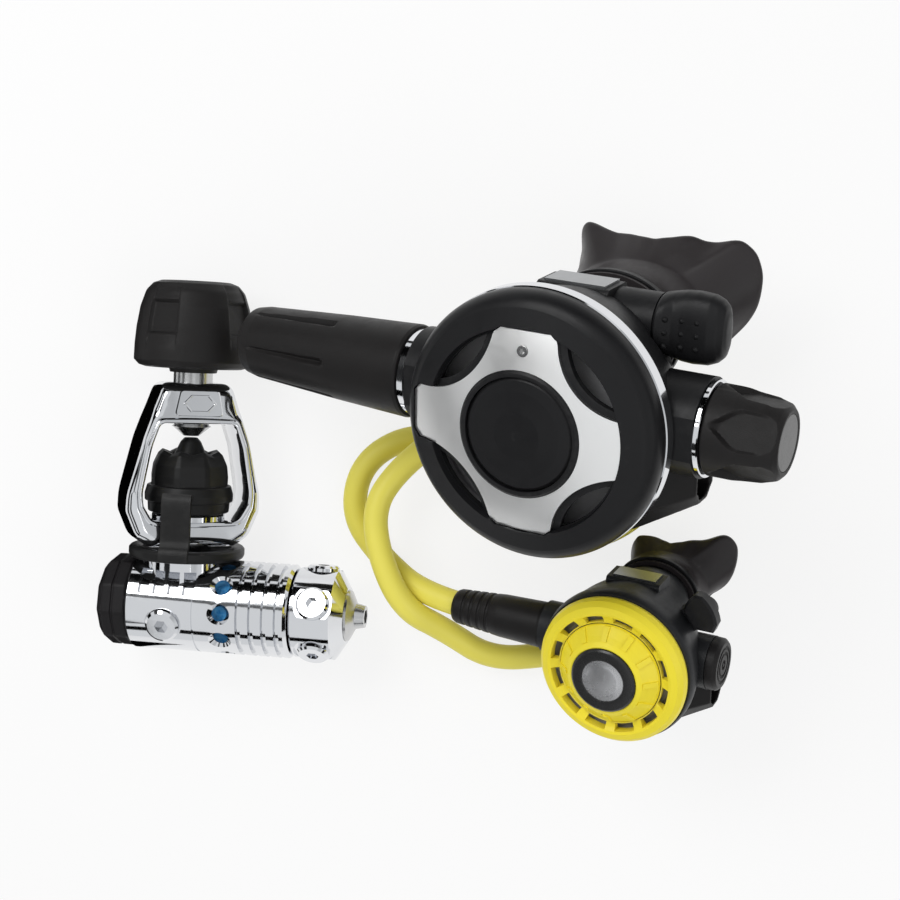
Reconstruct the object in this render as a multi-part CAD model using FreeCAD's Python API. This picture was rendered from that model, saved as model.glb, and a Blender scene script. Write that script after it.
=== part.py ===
import FreeCAD, Part
import math
import os

# Scuba regulator set: first stage, primary second stage, octopus second stage and octopus hose.
# Millimetres, Z up, all three items lie on the plane z = 0.

V = FreeCAD.Vector

# Fits and clearances
run_fit = 0.05
soft_gap = 0.35
thread_depth = 0.9

# First stage, own frame: x along the body towards the nose, y along the yoke towards the knob
first_yaw = -2.9
first_roll = 0.5
first_height = 22.23
body_r = 18.4
body_left = -18.6
seam_x = 8.6
groove_start = 25.5
groove_count = 4
groove_pitch = 5.0
groove_width = 1.5
groove_depth = 1.7
body_right = 45.2
stem_r = 9.5
stem_end = 65.7
piston_bore_r = 12.5
piston_bore_end = 43.0
dry_bore_r = 6.0
boot_left = -31.0
boot_r = 17.6
boot_wall = 2.4
adjuster_r = 12.0
turret_r = 17.5
turret_start = 45.7
turret_end = 62.5
lp_port_x = 55.0
lp_port_count = 5
lp_plug_r = 6.3
lp_bore_r = 4.8
lp_port_angle0 = 22.0
bolt_head_r = 8.0
bolt_head_len = 3.2
bolt_tip_len = 3.6
hex_socket = 5.0
hp_port_x = -3.0
hp_port_angle = -18.0
hp_plug_r = 6.6
hp_plug_top = 20.2
hp_bore_r = 5.0
ambient_x = 19.0
ambient_count = 10
ambient_r = 2.9
ambient_chamfer = 1.6
pocket_count = 4
pocket_w = 4.3
pocket_step = 5.9
pocket_first_x = -13.6
pocket_y0 = 6.2
pocket_y1 = 14.6
spring_wire = 2.0
spring_r = 9.0
spring_turns = 6
piston_travel = 1.0

# Yoke, screw, knob and cap, on the y axis
yoke_turn = 32.0
yoke_bar_low = 23.2
yoke_win_low = 33.6
yoke_win_high = 71.5
yoke_top = 87.0
yoke_depth = 23.0
yoke_top_half = 14.8
yoke_wide_half = 26.3
yoke_wide_y = 41.0
yoke_foot_half = 17.6
win_top_half = 14.6
win_wide_half = 20.6
win_foot_half = 17.0
inlet_r = 10.2
inlet_boss_r = 15.5
inlet_boss_top = 19.4
seat_r = 14.1
seat_top = 36.0
seat_bore_r = 4.2
filter_r = 6.2
screw_r = 7.6
screw_tip = 66.2
screw_pitch = 1.27
stem_hub_r = 9.6
knob_low = 92.4
knob_high = 126.0
knob_low_r = 22.8
knob_high_r = 18.6
knob_pads = 4
knob_pad_half = 6.3
knob_badge_r = 11.6
cap_low = 36.6
cap_high = 65.4
cap_flange_r = 17.1
cap_dome_r = 15.1
cap_skirt_r = 15.9
strap_turn = 4.0
strap_half = 5.6
strap_thick = 2.2
collar_out_r = 22.4
collar_in_r = 17.0
collar_low = 19.9
collar_thick = 3.0

# Primary second stage, own frame: x along the barrel towards the knob, z out of the cover
prim_pos = (144.86, 74.44, 105.02)
prim_angles = (-9.89, -19.90, 18.44)
ring_r = 45.2
window_r = 33.5
band_depth = 5.2
case_r = 43.4
case_wall = 2.4
barrel_y = 2.3
barrel_z = -22.4
barrel_out_r = 16.6
valve_r = 9.4
knob_ring_x = 52.4
inlet_ring_x = -54.5
hub_r = 21.3
button_r = 18.9
button_travel = 2.0
dome_z = 11.6
adj_knob_end = 78.0
protector_end = -128.0
label_y = 40.2
venturi_x = 27.4
venturi_y = 30.0
venturi_z = -37.0
mouth_y = 19.5
mouth_end_z = -103.1
prim_collar = (25.0, 20.8)
plate_sphere = 136.0

# Octopus second stage, the same layout, smaller
octo_pos = (169.66, -12.41, 63.67)
octo_angles = (-7.50, -19.09, 17.83)
octo_r = 27.3
octo_slots = 12
octo_disc_r = 20.6
octo_badge_r = 11.9
octo_badge_in_r = 7.9
octo_travel = 2.0
octo_wall = 1.8
octo_barrel_z = -19.7
octo_barrel_r = 9.6
octo_cap_x = 33.4
octo_valve_r = 5.8
octo_prot_end = -72.5
octo_inlet_x = -56.0
octo_prot_r = 6.1
octo_mouth_y = 13.0
octo_mouth_end_z = -62.7
octo_collar = (15.0, 13.4)
fin_x = 25.5
fin_y = 20.0
fin_z = -14.0

# Octopus hose
hose_r = 4.8
hose_floor = 4.85
fitting_r = 4.76
fitting_len = 9.0
coil_x = 153.3
coil_y = 61.9
coil_r = 32.6
coil_step = 10.05
coil_start = -123.5
coil_corners = 22

set_shift = (-98.7, -51.1, 0.0)

made = {}


def place(yaw, pitch, roll, pos):
    return FreeCAD.Placement(V(*pos), FreeCAD.Rotation(yaw, pitch, roll))


def moved(shape, placement):
    copy = shape.copy()
    copy.Placement = placement.multiply(copy.Placement)
    return copy


def one(shapes):
    shape = shapes[0]
    if len(shapes) > 1:
        shape = shapes[0].multiFuse(shapes[1:])
    return shape.removeSplitter()


def cut(shape, tools):
    return shape.cut(list(tools))


def cyl(r, h, base, axis):
    return Part.makeCylinder(r, h, V(*base), V(*axis))


def xcyl(r, x0, x1, y=0.0, z=0.0):
    return cyl(r, x1 - x0, (x0, y, z), (1, 0, 0))


def ycyl(r, y0, y1, x=0.0, z=0.0):
    return cyl(r, y1 - y0, (x, y0, z), (0, 1, 0))


def zcyl(r, z0, z1, x=0.0, y=0.0):
    return cyl(r, z1 - z0, (x, y, z0), (0, 0, 1))


def box(x0, x1, y0, y1, z0, z1):
    return Part.makeBox(x1 - x0, y1 - y0, z1 - z0, V(x0, y0, z0))


def xturn(points, y=0.0, z=0.0):
    # revolved about a line along x, points are (x, r)
    verts = [V(x, y + r, z) for x, r in points]
    face = Part.Face(Part.makePolygon(verts + [verts[0]]))
    return face.revolve(V(0, y, z), V(1, 0, 0), 360)


def yturn(points):
    verts = [V(r, y, 0) for y, r in points]
    face = Part.Face(Part.makePolygon(verts + [verts[0]]))
    return face.revolve(V(0, 0, 0), V(0, 1, 0), 360)


def zturn(points):
    verts = [V(r, 0, z) for z, r in points]
    face = Part.Face(Part.makePolygon(verts + [verts[0]]))
    return face.revolve(V(0, 0, 0), V(0, 0, 1), 360)


def zturn_edges(edges):
    face = Part.Face(Part.Wire(edges))
    return face.revolve(V(0, 0, 0), V(0, 0, 1), 360)


def arc(a, b, c):
    return Part.Arc(V(*a), V(*b), V(*c)).toShape()


def line(a, b):
    return Part.LineSegment(V(*a), V(*b)).toShape()


def hexagon(across, depth, base, axis):
    # prism with a six-sided section, used for sockets
    r = across / math.sqrt(3.0)
    pts = []
    for i in range(7):
        a = math.radians(60.0 * i)
        pts.append(V(r * math.cos(a), r * math.sin(a), 0))
    prism = Part.Face(Part.makePolygon(pts)).extrude(V(0, 0, depth))
    turn = FreeCAD.Rotation(V(0, 0, 1), V(*axis))
    return moved(prism, FreeCAD.Placement(V(*base), turn))


def ellipse_wire(cx, cy, z, rx, ry):
    if abs(rx - ry) < 1e-6:
        return Part.Wire(Part.Circle(V(cx, cy, z), V(0, 0, 1), rx).toShape())
    if rx > ry:
        e = Part.Ellipse(V(cx, cy, z), rx, ry)
    else:
        e = Part.Ellipse(V(cx, cy + ry, z), V(cx - rx, cy, z), V(cx, cy, z))
    return Part.Wire(e.toShape())


def loft(sections):
    wires = [ellipse_wire(*s) for s in sections]
    return Part.makeLoft(wires, True, False)


def spring(r, wire, length, turns, base, axis):
    # helical tube, its turns are equal
    helix = Part.makeHelix(length / turns, length, r)
    start = V(r, 0, 0)
    ring = Part.Wire(Part.Circle(start, V(0, 1, 0), wire / 2.0).toShape())
    coil = Part.Wire(helix.Edges).makePipeShell([ring], True, True)
    turn = FreeCAD.Rotation(V(0, 0, 1), V(*axis))
    return moved(coil, FreeCAD.Placement(V(*base), turn))


# First stage

def first_body():
    shell = [
        (body_left, 0.0),
        (body_left, body_r - 0.9),
        (body_left + 0.9, body_r),
        (seam_x - 0.35, body_r),
        (seam_x - 0.35, body_r - 0.5),
        (seam_x + 0.35, body_r - 0.5),
        (seam_x + 0.35, body_r),
        (body_right - 1.2, body_r - 0.2),
        (body_right, body_r - 1.4),
        (body_right, stem_r),
        (stem_end, stem_r),
        (stem_end, 0.0),
    ]
    body = xturn(shell)
    boss = yturn([(0, 0), (0, inlet_boss_r), (inlet_boss_top, inlet_boss_r), (inlet_boss_top, 0)])
    body = one([body, boss])
    tools = []
    for i in range(groove_count):
        x = groove_start + i * groove_pitch
        pts = [
            (x, body_r + 0.5),
            (x, body_r - 0.1),
            (x + 0.35, body_r - groove_depth),
            (x + groove_width, body_r - groove_depth),
            (x + groove_width + 0.5, body_r - 0.1),
            (x + groove_width + 0.5, body_r + 0.5),
        ]
        tools.append(xturn(pts))
    # inside: adjuster seat, dry chamber, piston chamber, outlet through the stem
    tools.append(xcyl(adjuster_r, body_left - 1, body_left + 8.0))
    tools.append(xcyl(dry_bore_r, body_left, 13.0))
    tools.append(xcyl(piston_bore_r, 12.0, piston_bore_end))
    tools.append(xcyl(5.5, piston_bore_end - 1, stem_end + 1))
    tools.append(ycyl(inlet_r - thread_depth, 13.5, inlet_boss_top + 1))
    tools.append(ycyl(seat_bore_r, 0, 14))
    for i in range(ambient_count):
        a = math.radians(18.0 + 360.0 / ambient_count * i)
        d = V(0, math.cos(a), math.sin(a))
        tools.append(Part.makeCylinder(ambient_r, 12, d * 10 + V(ambient_x, 0, 0), d))
        deep = d * (body_r - ambient_chamfer) + V(ambient_x, 0, 0)
        tools.append(Part.makeCone(ambient_r, ambient_r + 2.4, 2.4, deep, d))
    for s in (1, -1):
        a = math.radians(hp_port_angle)
        d = V(0, math.sin(a), math.cos(a) * s)
        tools.append(Part.makeCylinder(hp_bore_r, 14, d * 5 + V(hp_port_x, 0, 0), d))
        tools.append(Part.makeCylinder(hp_plug_r + 0.6, 6, d * (hp_plug_top - 2.4) + V(hp_port_x, 0, 0), d))
    body = cut(body, tools)
    pads = []
    for i in range(pocket_count):
        x0 = pocket_first_x + i * pocket_step
        for s in (1, -1):
            lo = min(s * 8.6, s * 25.0)
            hi = max(s * 8.6, s * 25.0)
            pads.append(box(x0, x0 + pocket_w, pocket_y0, pocket_y1, lo, hi))
    pad_floor = xcyl(body_r - 1.5, body_left - 1, seam_x)
    pads = [p.cut(pad_floor) for p in pads]
    return cut(body, pads).removeSplitter()


def first_boot():
    # ten-sided rubber cap over the adjuster end
    pts = []
    for i in range(11):
        a = math.radians(36.0 * i + 9.0)
        pts.append(V(boot_left + 2.6, boot_r * 1.02 * math.cos(a), boot_r * 1.02 * math.sin(a)))
    wire_a = Part.makePolygon(pts)
    pts_b = [V(boot_left, p.y * 0.84, p.z * 0.84) for p in pts]
    pts_c = [V(body_left - soft_gap, p.y * 1.02, p.z * 1.02) for p in pts]
    cap = Part.makeLoft([Part.makePolygon(pts_b), wire_a], True, True)
    skirt = Part.makeLoft([wire_a, Part.makePolygon(pts_c)], True, True)
    boot = one([cap, skirt])
    inner = xcyl(adjuster_r + 1.2, boot_left + boot_wall, body_left + 1)
    return boot.cut(inner).removeSplitter()


def first_adjuster():
    lip = body_left - 8.0
    plug = xturn([(lip, 0), (lip, 9.0), (lip + 1.0, 10.0), (body_left, 10.0), (body_left, adjuster_r),
                  (body_left + 8.0, adjuster_r), (body_left + 8.0, 0)])
    seat_hole = xcyl(3.4, body_left + 6.2, body_left + 9)
    return plug.cut([seat_hole, hexagon(6.0, 4.0, (lip - 0.1, 0, 0), (1, 0, 0))])


def first_seat():
    return xcyl(3.4, body_left + 6.2, body_left + 8.6)


def first_piston():
    gap = piston_travel + 1.2
    head = xcyl(piston_bore_r - run_fit, piston_bore_end - 3.0 - gap, piston_bore_end - gap)
    rod = xcyl(3.0, body_left + 8.6 + piston_travel + 0.1, piston_bore_end - gap - 1)
    bore = xcyl(1.6, body_left + 8, piston_bore_end)
    return one([head, rod]).cut(bore)


def first_spring():
    lo = 13.3 + spring_wire / 2.0
    hi = piston_bore_end - 3.0 - piston_travel - 1.2 - spring_wire / 2.0 - 0.35
    return spring(spring_r, spring_wire, hi - lo, spring_turns, (lo, 0, 0), (1, 0, 0))


def first_sleeve():
    tube = xcyl(piston_bore_r - 0.02, 12.0, 26.0)
    return tube.cut(xcyl(spring_r + spring_wire / 2.0 + 0.5, 12.8, 27)).cut(xcyl(3.6, 11, 13))


def port_dir(i):
    a = math.radians(lp_port_angle0 + 360.0 / lp_port_count * i)
    return V(0, math.sin(a), math.cos(a))


def first_turret():
    shell = [
        (turret_start, stem_r + run_fit),
        (turret_start, turret_r - 1.0),
        (turret_start + 1.0, turret_r),
        (turret_end - 0.8, turret_r),
        (turret_end + 3.2, bolt_head_r + 3.0),
        (turret_end + 3.2, stem_r + run_fit),
    ]
    turret = xturn(shell)
    tools = []
    for i in range(lp_port_count):
        d = port_dir(i)
        flat = Part.makeCylinder(lp_plug_r + 1.4, 4, d * (turret_r - 0.9) + V(lp_port_x, 0, 0), d)
        tools.append(flat)
        tools.append(Part.makeCylinder(lp_bore_r, 12, d * 8 + V(lp_port_x, 0, 0), d))
    return cut(turret, tools).removeSplitter()


def first_lp_plugs():
    plugs = []
    for i in range(lp_port_count):
        d = port_dir(i)
        seat = turret_r - 0.9
        base = d * (seat - 5.0) + V(lp_port_x, 0, 0)
        shank = Part.makeCylinder(lp_bore_r, 5.2, base, d)
        head = Part.makeCylinder(lp_plug_r, 1.3, d * seat + V(lp_port_x, 0, 0), d)
        rim = Part.makeCone(lp_plug_r, lp_plug_r - 0.9, 0.9, d * (seat + 1.3) + V(lp_port_x, 0, 0), d)
        top = d * (seat + 2.3) + V(lp_port_x, 0, 0)
        down = d * -1.0
        socket = hexagon(4.2, 3.4, (top.x, top.y, top.z), (down.x, down.y, down.z))
        plugs.append(one([shank, head, rim]).cut(socket))
    return Part.makeCompound(plugs)


def first_bolt():
    x0 = turret_end + 3.25
    pts = [
        (x0 - 10.0, 0.0),
        (x0 - 10.0, 5.5),
        (x0, 5.5),
        (x0, bolt_head_r + 2.0),
        (x0 + 0.8, bolt_head_r + 1.6),
        (x0 + bolt_head_len, 5.0),
        (x0 + bolt_head_len + bolt_tip_len, 4.2),
        (x0 + bolt_head_len + bolt_tip_len, 0.0),
    ]
    end = x0 + bolt_head_len + bolt_tip_len
    return xturn(pts).cut(hexagon(hex_socket, 5.0, (end + 0.1, 0, 0), (-1, 0, 0)))


def first_hp_plugs():
    plugs = []
    for s in (1, -1):
        a = math.radians(hp_port_angle)
        d = V(0, math.sin(a), math.cos(a) * s)
        base = V(hp_port_x, 0, 0)
        shank = Part.makeCylinder(hp_bore_r, 7.0, d * 11.0 + base, d)
        head = Part.makeCylinder(hp_plug_r, 1.6, d * (hp_plug_top - 2.4) + base, d)
        rim = Part.makeCone(hp_plug_r, hp_plug_r - 1.0, 0.8, d * (hp_plug_top - 0.8) + base, d)
        top = d * (hp_plug_top + 0.1) + base
        down = d * -1.0
        socket = hexagon(4.8, 4.0, (top.x, top.y, top.z), (down.x, down.y, down.z))
        plugs.append(one([shank, head, rim]).cut(socket))
    return Part.makeCompound(plugs)


def yoke_nut():
    low = 13.5
    pts = [
        (low, seat_bore_r),
        (low, inlet_r - thread_depth),
        (yoke_win_low + 0.05, inlet_r - thread_depth),
        (yoke_win_low + 0.05, seat_r),
        (seat_top - 0.5, seat_r),
        (seat_top, seat_r - 0.5),
        (seat_top, 8.4),
        (seat_top - 1.4, 8.4),
        (seat_top - 1.4, filter_r + 0.6),
        (seat_top - 6.0, filter_r + 0.6),
        (seat_top - 6.0, seat_bore_r),
    ]
    return yturn(pts)


def inlet_filter():
    return yturn([(seat_top - 6.0, 0), (seat_top - 6.0, filter_r - 1.4), (seat_top - 3.2, filter_r),
                  (seat_top - 2.6, filter_r), (seat_top - 2.6, 0)])


def filter_clip():
    ring = yturn([(seat_top - 2.55, filter_r - 1.3), (seat_top - 2.55, filter_r + 0.6),
                  (seat_top - 1.8, filter_r + 0.6), (seat_top - 1.8, filter_r - 1.3)])
    return ring.cut(box(-1.2, 1.2, seat_top - 4, seat_top, 0, 9))


def yoke_outline(top_half, top_y, mid_half, mid_y, foot_half, foot_y, corner, shoulder):
    # closed symmetric outline in the x, y plane: flat top and foot, straight flanks, round corners
    right = [
        (top_half, top_y),
        (mid_half, mid_y),
        (foot_half, foot_y),
    ]
    pts = [V(-top_half, top_y, 0), V(top_half, top_y, 0)]
    pts += [V(x, y, 0) for x, y in right[1:]]
    pts += [V(-x, y, 0) for x, y in reversed(right[1:])]
    radii = [shoulder, shoulder, corner, corner, corner, corner]
    n = len(pts)
    edges = []
    ends = []
    for i in range(n):
        p = pts[i]
        a = (pts[i - 1] - p).normalize()
        b = (pts[(i + 1) % n] - p).normalize()
        half = a.getAngle(b) / 2.0
        reach = radii[i] / math.tan(half)
        mid_dir = (a + b).normalize()
        centre = p + mid_dir * (radii[i] / math.sin(half))
        ends.append((p + a * reach, centre - mid_dir * radii[i], p + b * reach))
    for i in range(n):
        start, middle, stop = ends[i]
        edges.append(Part.Arc(start, middle, stop).toShape())
        edges.append(Part.LineSegment(stop, ends[(i + 1) % n][0]).toShape())
    return Part.Face(Part.Wire(edges))


def yoke():
    outer = yoke_outline(yoke_top_half, yoke_top, yoke_wide_half, yoke_wide_y,
                         yoke_foot_half, yoke_bar_low, 7.0, 2.5)
    inner = yoke_outline(win_top_half, yoke_win_high, win_wide_half, yoke_wide_y,
                         win_foot_half, yoke_win_low, 4.0, 2.0)
    half = yoke_depth / 2.0
    frame = outer.extrude(V(0, 0, yoke_depth))
    frame.translate(V(0, 0, -half))
    rim = [e for e in frame.Edges if abs(e.BoundBox.ZLength) < 1e-4]
    frame = frame.makeChamfer(1.7, rim)
    window = inner.extrude(V(0, 0, yoke_depth + 2))
    window.translate(V(0, 0, -half - 1))
    bevels = []
    for s in (1, -1):
        wide = inner.copy()
        wide.translate(V(0, 0, s * (half - 0.9)))
        far = wide.copy()
        far.scale(1.09, V(0, yoke_wide_y + 12.0, s * (half + 0.6)))
        far.translate(V(0, 0, s * 1.5 * 1.09 - s * 0.0))
        bevels.append(Part.makeLoft([wide.OuterWire, far.OuterWire], True, True))
    frame = frame.cut([window] + bevels)
    # raised panel on both faces of the top, with a bare surface
    panels = []
    for s in (1, -1):
        pts = [(-9.6, 74.6), (-7.4, 84.2), (7.4, 84.2), (9.6, 74.6)]
        verts = [V(x, y, s * (half - 0.2)) for x, y in pts]
        face = Part.Face(Part.makePolygon(verts + [verts[0]]))
        panels.append(face.extrude(V(0, 0, s * 1.1)))
    frame = one([frame] + panels)
    return frame.cut([
        ycyl(screw_r + run_fit, yoke_win_high - 2, yoke_top + 2),
        ycyl(inlet_r - thread_depth + run_fit, yoke_bar_low - 1, yoke_win_low + 1),
    ])


def yoke_screw():
    pts = [
        (screw_tip, 0.0),
        (screw_tip, 3.2),
        (screw_tip + 3.0, screw_r - thread_depth),
    ]
    y = screw_tip + 3.0
    while y < yoke_win_high - 1.2:
        pts.append((y + screw_pitch * 0.5, screw_r))
        pts.append((y + screw_pitch, screw_r - thread_depth))
        y += screw_pitch
    pts += [(yoke_win_high, screw_r), (knob_low + 2.2, screw_r), (knob_low + 2.2, 4.0)]
    pts += [(knob_high - 8.2, 4.0), (knob_high - 8.2, 0.0)]
    return yturn(pts)


def yoke_knob():
    pts = [
        (knob_low - 1.6, screw_r + run_fit),
        (knob_low - 1.6, stem_hub_r - 0.6),
        (knob_low + 0.2, stem_hub_r),
        (knob_low + 0.2, knob_low_r - 3.4),
        (knob_low + 1.2, knob_low_r - 0.8),
        (knob_low + 3.6, knob_low_r),
        (knob_low + 13.0, knob_low_r - 0.6),
        (knob_high - 9.0, knob_high_r + 2.0),
        (knob_high - 3.4, knob_high_r - 0.1),
        (knob_high - 0.9, knob_high_r - 2.4),
        (knob_high, knob_badge_r + 1.2),
        (knob_high - 0.3, knob_badge_r + 0.1),
        (knob_high - 3.2, knob_badge_r + 0.1),
        (knob_high - 3.2, 0.0),
        (knob_high - 8.0, 0.0),
        (knob_high - 8.0, 4.0 + run_fit),
        (knob_low + 2.3, 4.0 + run_fit),
        (knob_low + 2.3, screw_r + run_fit),
    ]
    knob = yturn(pts)
    tools = []
    for i in range(knob_pads):
        a = 360.0 / knob_pads * i - 17.0
        slot = box(-knob_pad_half, knob_pad_half, knob_low + 9.0, knob_high - 7.5,
                   knob_high_r + 0.6, knob_low_r + 4)
        slot = slot.makeFillet(1.0, [e for e in slot.Edges if abs(e.BoundBox.ZLength) > 3])
        slot.rotate(V(0, 0, 0), V(0, 1, 0), a)
        tools.append(slot)
    return cut(knob, tools).removeSplitter()


def knob_badge():
    return ycyl(knob_badge_r, knob_high - 3.15, knob_high - 1.6)


def dust_cap():
    pts = [
        (cap_low, 0.0),
        (cap_low, cap_skirt_r - 0.5),
        (cap_low + 0.6, cap_skirt_r),
        (cap_low + 4.4, cap_skirt_r),
        (cap_low + 4.4, cap_flange_r),
        (cap_low + 8.6, cap_flange_r - 0.6),
        (cap_low + 8.6, cap_dome_r),
        (cap_low + 18.0, cap_dome_r - 1.6),
        (cap_low + 22.4, 6.2),
        (cap_high - 5.4, 5.6),
        (cap_high - 0.6, 3.6),
        (cap_high, 3.0),
        (cap_high, 0.0),
    ]
    cap = yturn(pts)
    tools = [ycyl(11.4, cap_low - 1, cap_low + 9.0)]
    for i in range(8):
        a = 45.0 * i + 22.5
        flat = box(-9, 9, cap_low + 8.7, cap_high + 1, cap_dome_r - 0.9, cap_dome_r + 5)
        flat.rotate(V(0, 0, 0), V(0, 1, 0), a)
        tools.append(flat)
    return cut(cap, tools).removeSplitter()


def cap_strap():
    # collar round the inlet and a strap that runs up over the lower bar to the cap
    ring = ycyl(collar_out_r, collar_low, collar_low + collar_thick)
    ring = ring.cut(ycyl(collar_in_r, collar_low - 1, collar_low + collar_thick + 1))
    t = strap_thick
    cap_z = cap_flange_r + soft_gap
    pts = [
        (collar_low, collar_out_r - 5.0),
        (collar_low + collar_thick, collar_out_r - 5.0),
        (collar_low + collar_thick, cap_z),
        (cap_low + 9.0, cap_z),
        (cap_low + 9.0, cap_z + t),
        (collar_low + collar_thick + 3.0, cap_z + t),
        (collar_low + collar_thick, collar_out_r),
        (collar_low, collar_out_r),
    ]
    verts = [V(-strap_half, y, z) for y, z in pts]
    face = Part.Face(Part.makePolygon(verts + [verts[0]]))
    strap = face.extrude(V(2 * strap_half, 0, 0))
    strap.rotate(V(0, 0, 0), V(0, 1, 0), strap_turn)
    return one([ring, strap])


def build_first():
    base = place(first_yaw, 0.0, first_roll, (0.0, 0.0, first_height))
    turn = FreeCAD.Placement(V(0, 0, 0), FreeCAD.Rotation(V(0, 1, 0), yoke_turn))
    parts = {
        "fs_body": first_body(),
        "fs_end_boot": first_boot(),
        "fs_seat_adjuster": first_adjuster(),
        "fs_inlet_seat": first_seat(),
        "fs_piston": first_piston(),
        "fs_main_spring": first_spring(),
        "fs_spring_sleeve": first_sleeve(),
        "fs_turret": first_turret(),
        "fs_lp_plugs": first_lp_plugs(),
        "fs_turret_bolt": first_bolt(),
        "fs_gauge_plugs": first_hp_plugs(),
        "fs_yoke_nut": yoke_nut(),
        "fs_inlet_filter": inlet_filter(),
        "fs_filter_clip": filter_clip(),
        "fs_yoke": moved(yoke(), turn),
        "fs_yoke_screw": yoke_screw(),
        "fs_yoke_knob": yoke_knob(),
        "fs_knob_badge": knob_badge(),
        "fs_dust_cap": dust_cap(),
        "fs_cap_strap": cap_strap(),
    }
    for name, shape in parts.items():
        made[name] = moved(shape, base)


# Second stages: shapes shared by the primary and the octopus

def stage_case(skin, hollow, rim_z, barrel, extras, inside, holes):
    # cup that narrows backwards into the neck of the mouthpiece, with the barrel bosses across it
    y, z, r, x0, x1 = barrel
    tube = xcyl(r, x0, x1, y, z)
    tube = tube.cut(box(x0 - 1, x1 + 1, y - r - 1, y + r + 1, rim_z - 0.15, rim_z + 40))
    body = one([loft(skin), tube] + extras).cut(loft(hollow))
    if inside:
        body = one([body] + inside)
    return cut(body, holes).removeSplitter()


def oval_bar(cy, z0, z1, rx, ry):
    return Part.Face(ellipse_wire(0, cy, z1, rx, ry)).extrude(V(0, 0, z0 - z1))


def oval_band(cy, z0, z1, rx, ry, t):
    return oval_bar(cy, z0, z1, rx + t, ry + t).cut(oval_bar(cy, z0 + 1, z1 - 1, rx, ry))


def mouthpiece(collar, sections, bore, lug):
    # straight collar with the tie's groove, a tube that flares into the lip shield, and two bite lugs
    cy, z0, z1, rx, ry = collar
    neck = oval_bar(cy, z0, z1, rx, ry)
    lip = oval_bar(cy, z0, z0 - 1.0, rx + 0.6, ry + 0.6)
    body = one([loft(sections), neck, lip])
    x, y, w, h, z0, z1 = lug
    lugs = []
    for s in (1, -1):
        tab = box(s * x - w / 2.0, s * x + w / 2.0, y - h / 2.0, y + h / 2.0, z1, z0)
        pad = box(s * x - w / 2.0 - 0.6, s * x + w / 2.0 + 0.6, y - h / 2.0, y + h / 2.0, z1, z1 + 2.4)
        lugs.append(tab)
        lugs.append(pad)
    return one([body] + lugs).cut(loft(bore)).removeSplitter()


def tee_shape(stations, shrink):
    # stations are (x, y low, y high, z low, z high)
    wires = []
    for x, y0, y1, z0, z1 in stations:
        a = y0 + shrink
        b = y1 - shrink
        c = z0 + shrink
        d = z1 - shrink
        k = 0.28 * min(b - a, d - c)
        pts = [(a + k, c), (b - k, c), (b, c + k), (b, d - k), (b - k, d), (a + k, d), (a, d - k),
               (a, c + k)]
        verts = [V(x, p, q) for p, q in pts]
        wires.append(Part.makePolygon(verts + [verts[0]]))
    return Part.makeLoft(wires, True, True)


def exhaust_tee(stations, wall, skin, barrel, outlet, flap_r):
    outer = tee_shape(stations, 0.0)
    y, z, r = barrel
    far = stations[-1][0]
    inner_st = [(x * (far + 1.0) / far, a, b, c, d) for x, a, b, c, d in stations]
    inner = tee_shape(inner_st, wall)
    flap_room = cyl(flap_r, 3.0, outlet[0], outlet[1])
    shell = outer.cut([inner, loft(skin), xcyl(r + 0.1, -60, 60, y, z), flap_room])
    solids = sorted(shell.Solids, key=lambda q: q.Volume)
    return solids[-1]


def demand_lever(y, pivot_x, foot_z, tip_x, top_z, spread, width, t):
    arm = box(tip_x, pivot_x + t, y - width / 2.0, y + width / 2.0, top_z - t, top_z)
    yoke_bar = box(pivot_x - t, pivot_x + t, y - spread - t, y + spread + t, top_z - t, top_z)
    legs = []
    for s in (1, -1):
        c = y + s * (spread + t / 2.0)
        legs.append(box(pivot_x - t, pivot_x + t, c - t / 2.0, c + t / 2.0, foot_z, top_z))
    return one([arm, yoke_bar] + legs)


def diaphragm(r, plate_r, z, t):
    disc = zturn([(z, 0), (z, plate_r), (z, r - 4.0), (z - 0.9, r - 2.6), (z, r - 1.2), (z, r),
                  (z - t, r), (z - t, r - 1.6), (z - t - 0.9, r - 2.6), (z - t, r - 3.8), (z - t, 0)])
    plate = zcyl(plate_r, z - t - 0.5, z - t)
    return one([disc, plate])


def tie(cy, z0, z1, oval, t, lock):
    # cable tie: a flat band round the collar with its square lock
    w, h = lock
    y1 = cy - oval[1] - t
    head = box(-w / 2.0, w / 2.0, y1 - h, y1 + 0.4, z1 - 0.3, z0 + 0.3)
    return one([oval_band(cy, z0, z1, oval[0] + 0.02, oval[1] + 0.02, t), head])




# Primary second stage



def sphere_part(r_cut, z_top, r_ball):
    # spherical dome whose top is at z_top, limited to the radius r_cut
    depth = r_ball - math.sqrt(r_ball * r_ball - r_cut * r_cut)
    mid_r = r_cut * 0.5
    mid_z = z_top - (r_ball - math.sqrt(r_ball * r_ball - mid_r * mid_r))
    low = z_top - depth
    edges = [
        arc((0, 0, z_top), (mid_r, 0, mid_z), (r_cut, 0, low)),
        line((r_cut, 0, low), (r_cut, 0, low - 30)),
        line((r_cut, 0, low - 30), (0, 0, low - 30)),
        line((0, 0, low - 30), (0, 0, z_top)),
    ]
    return zturn_edges(edges)


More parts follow.
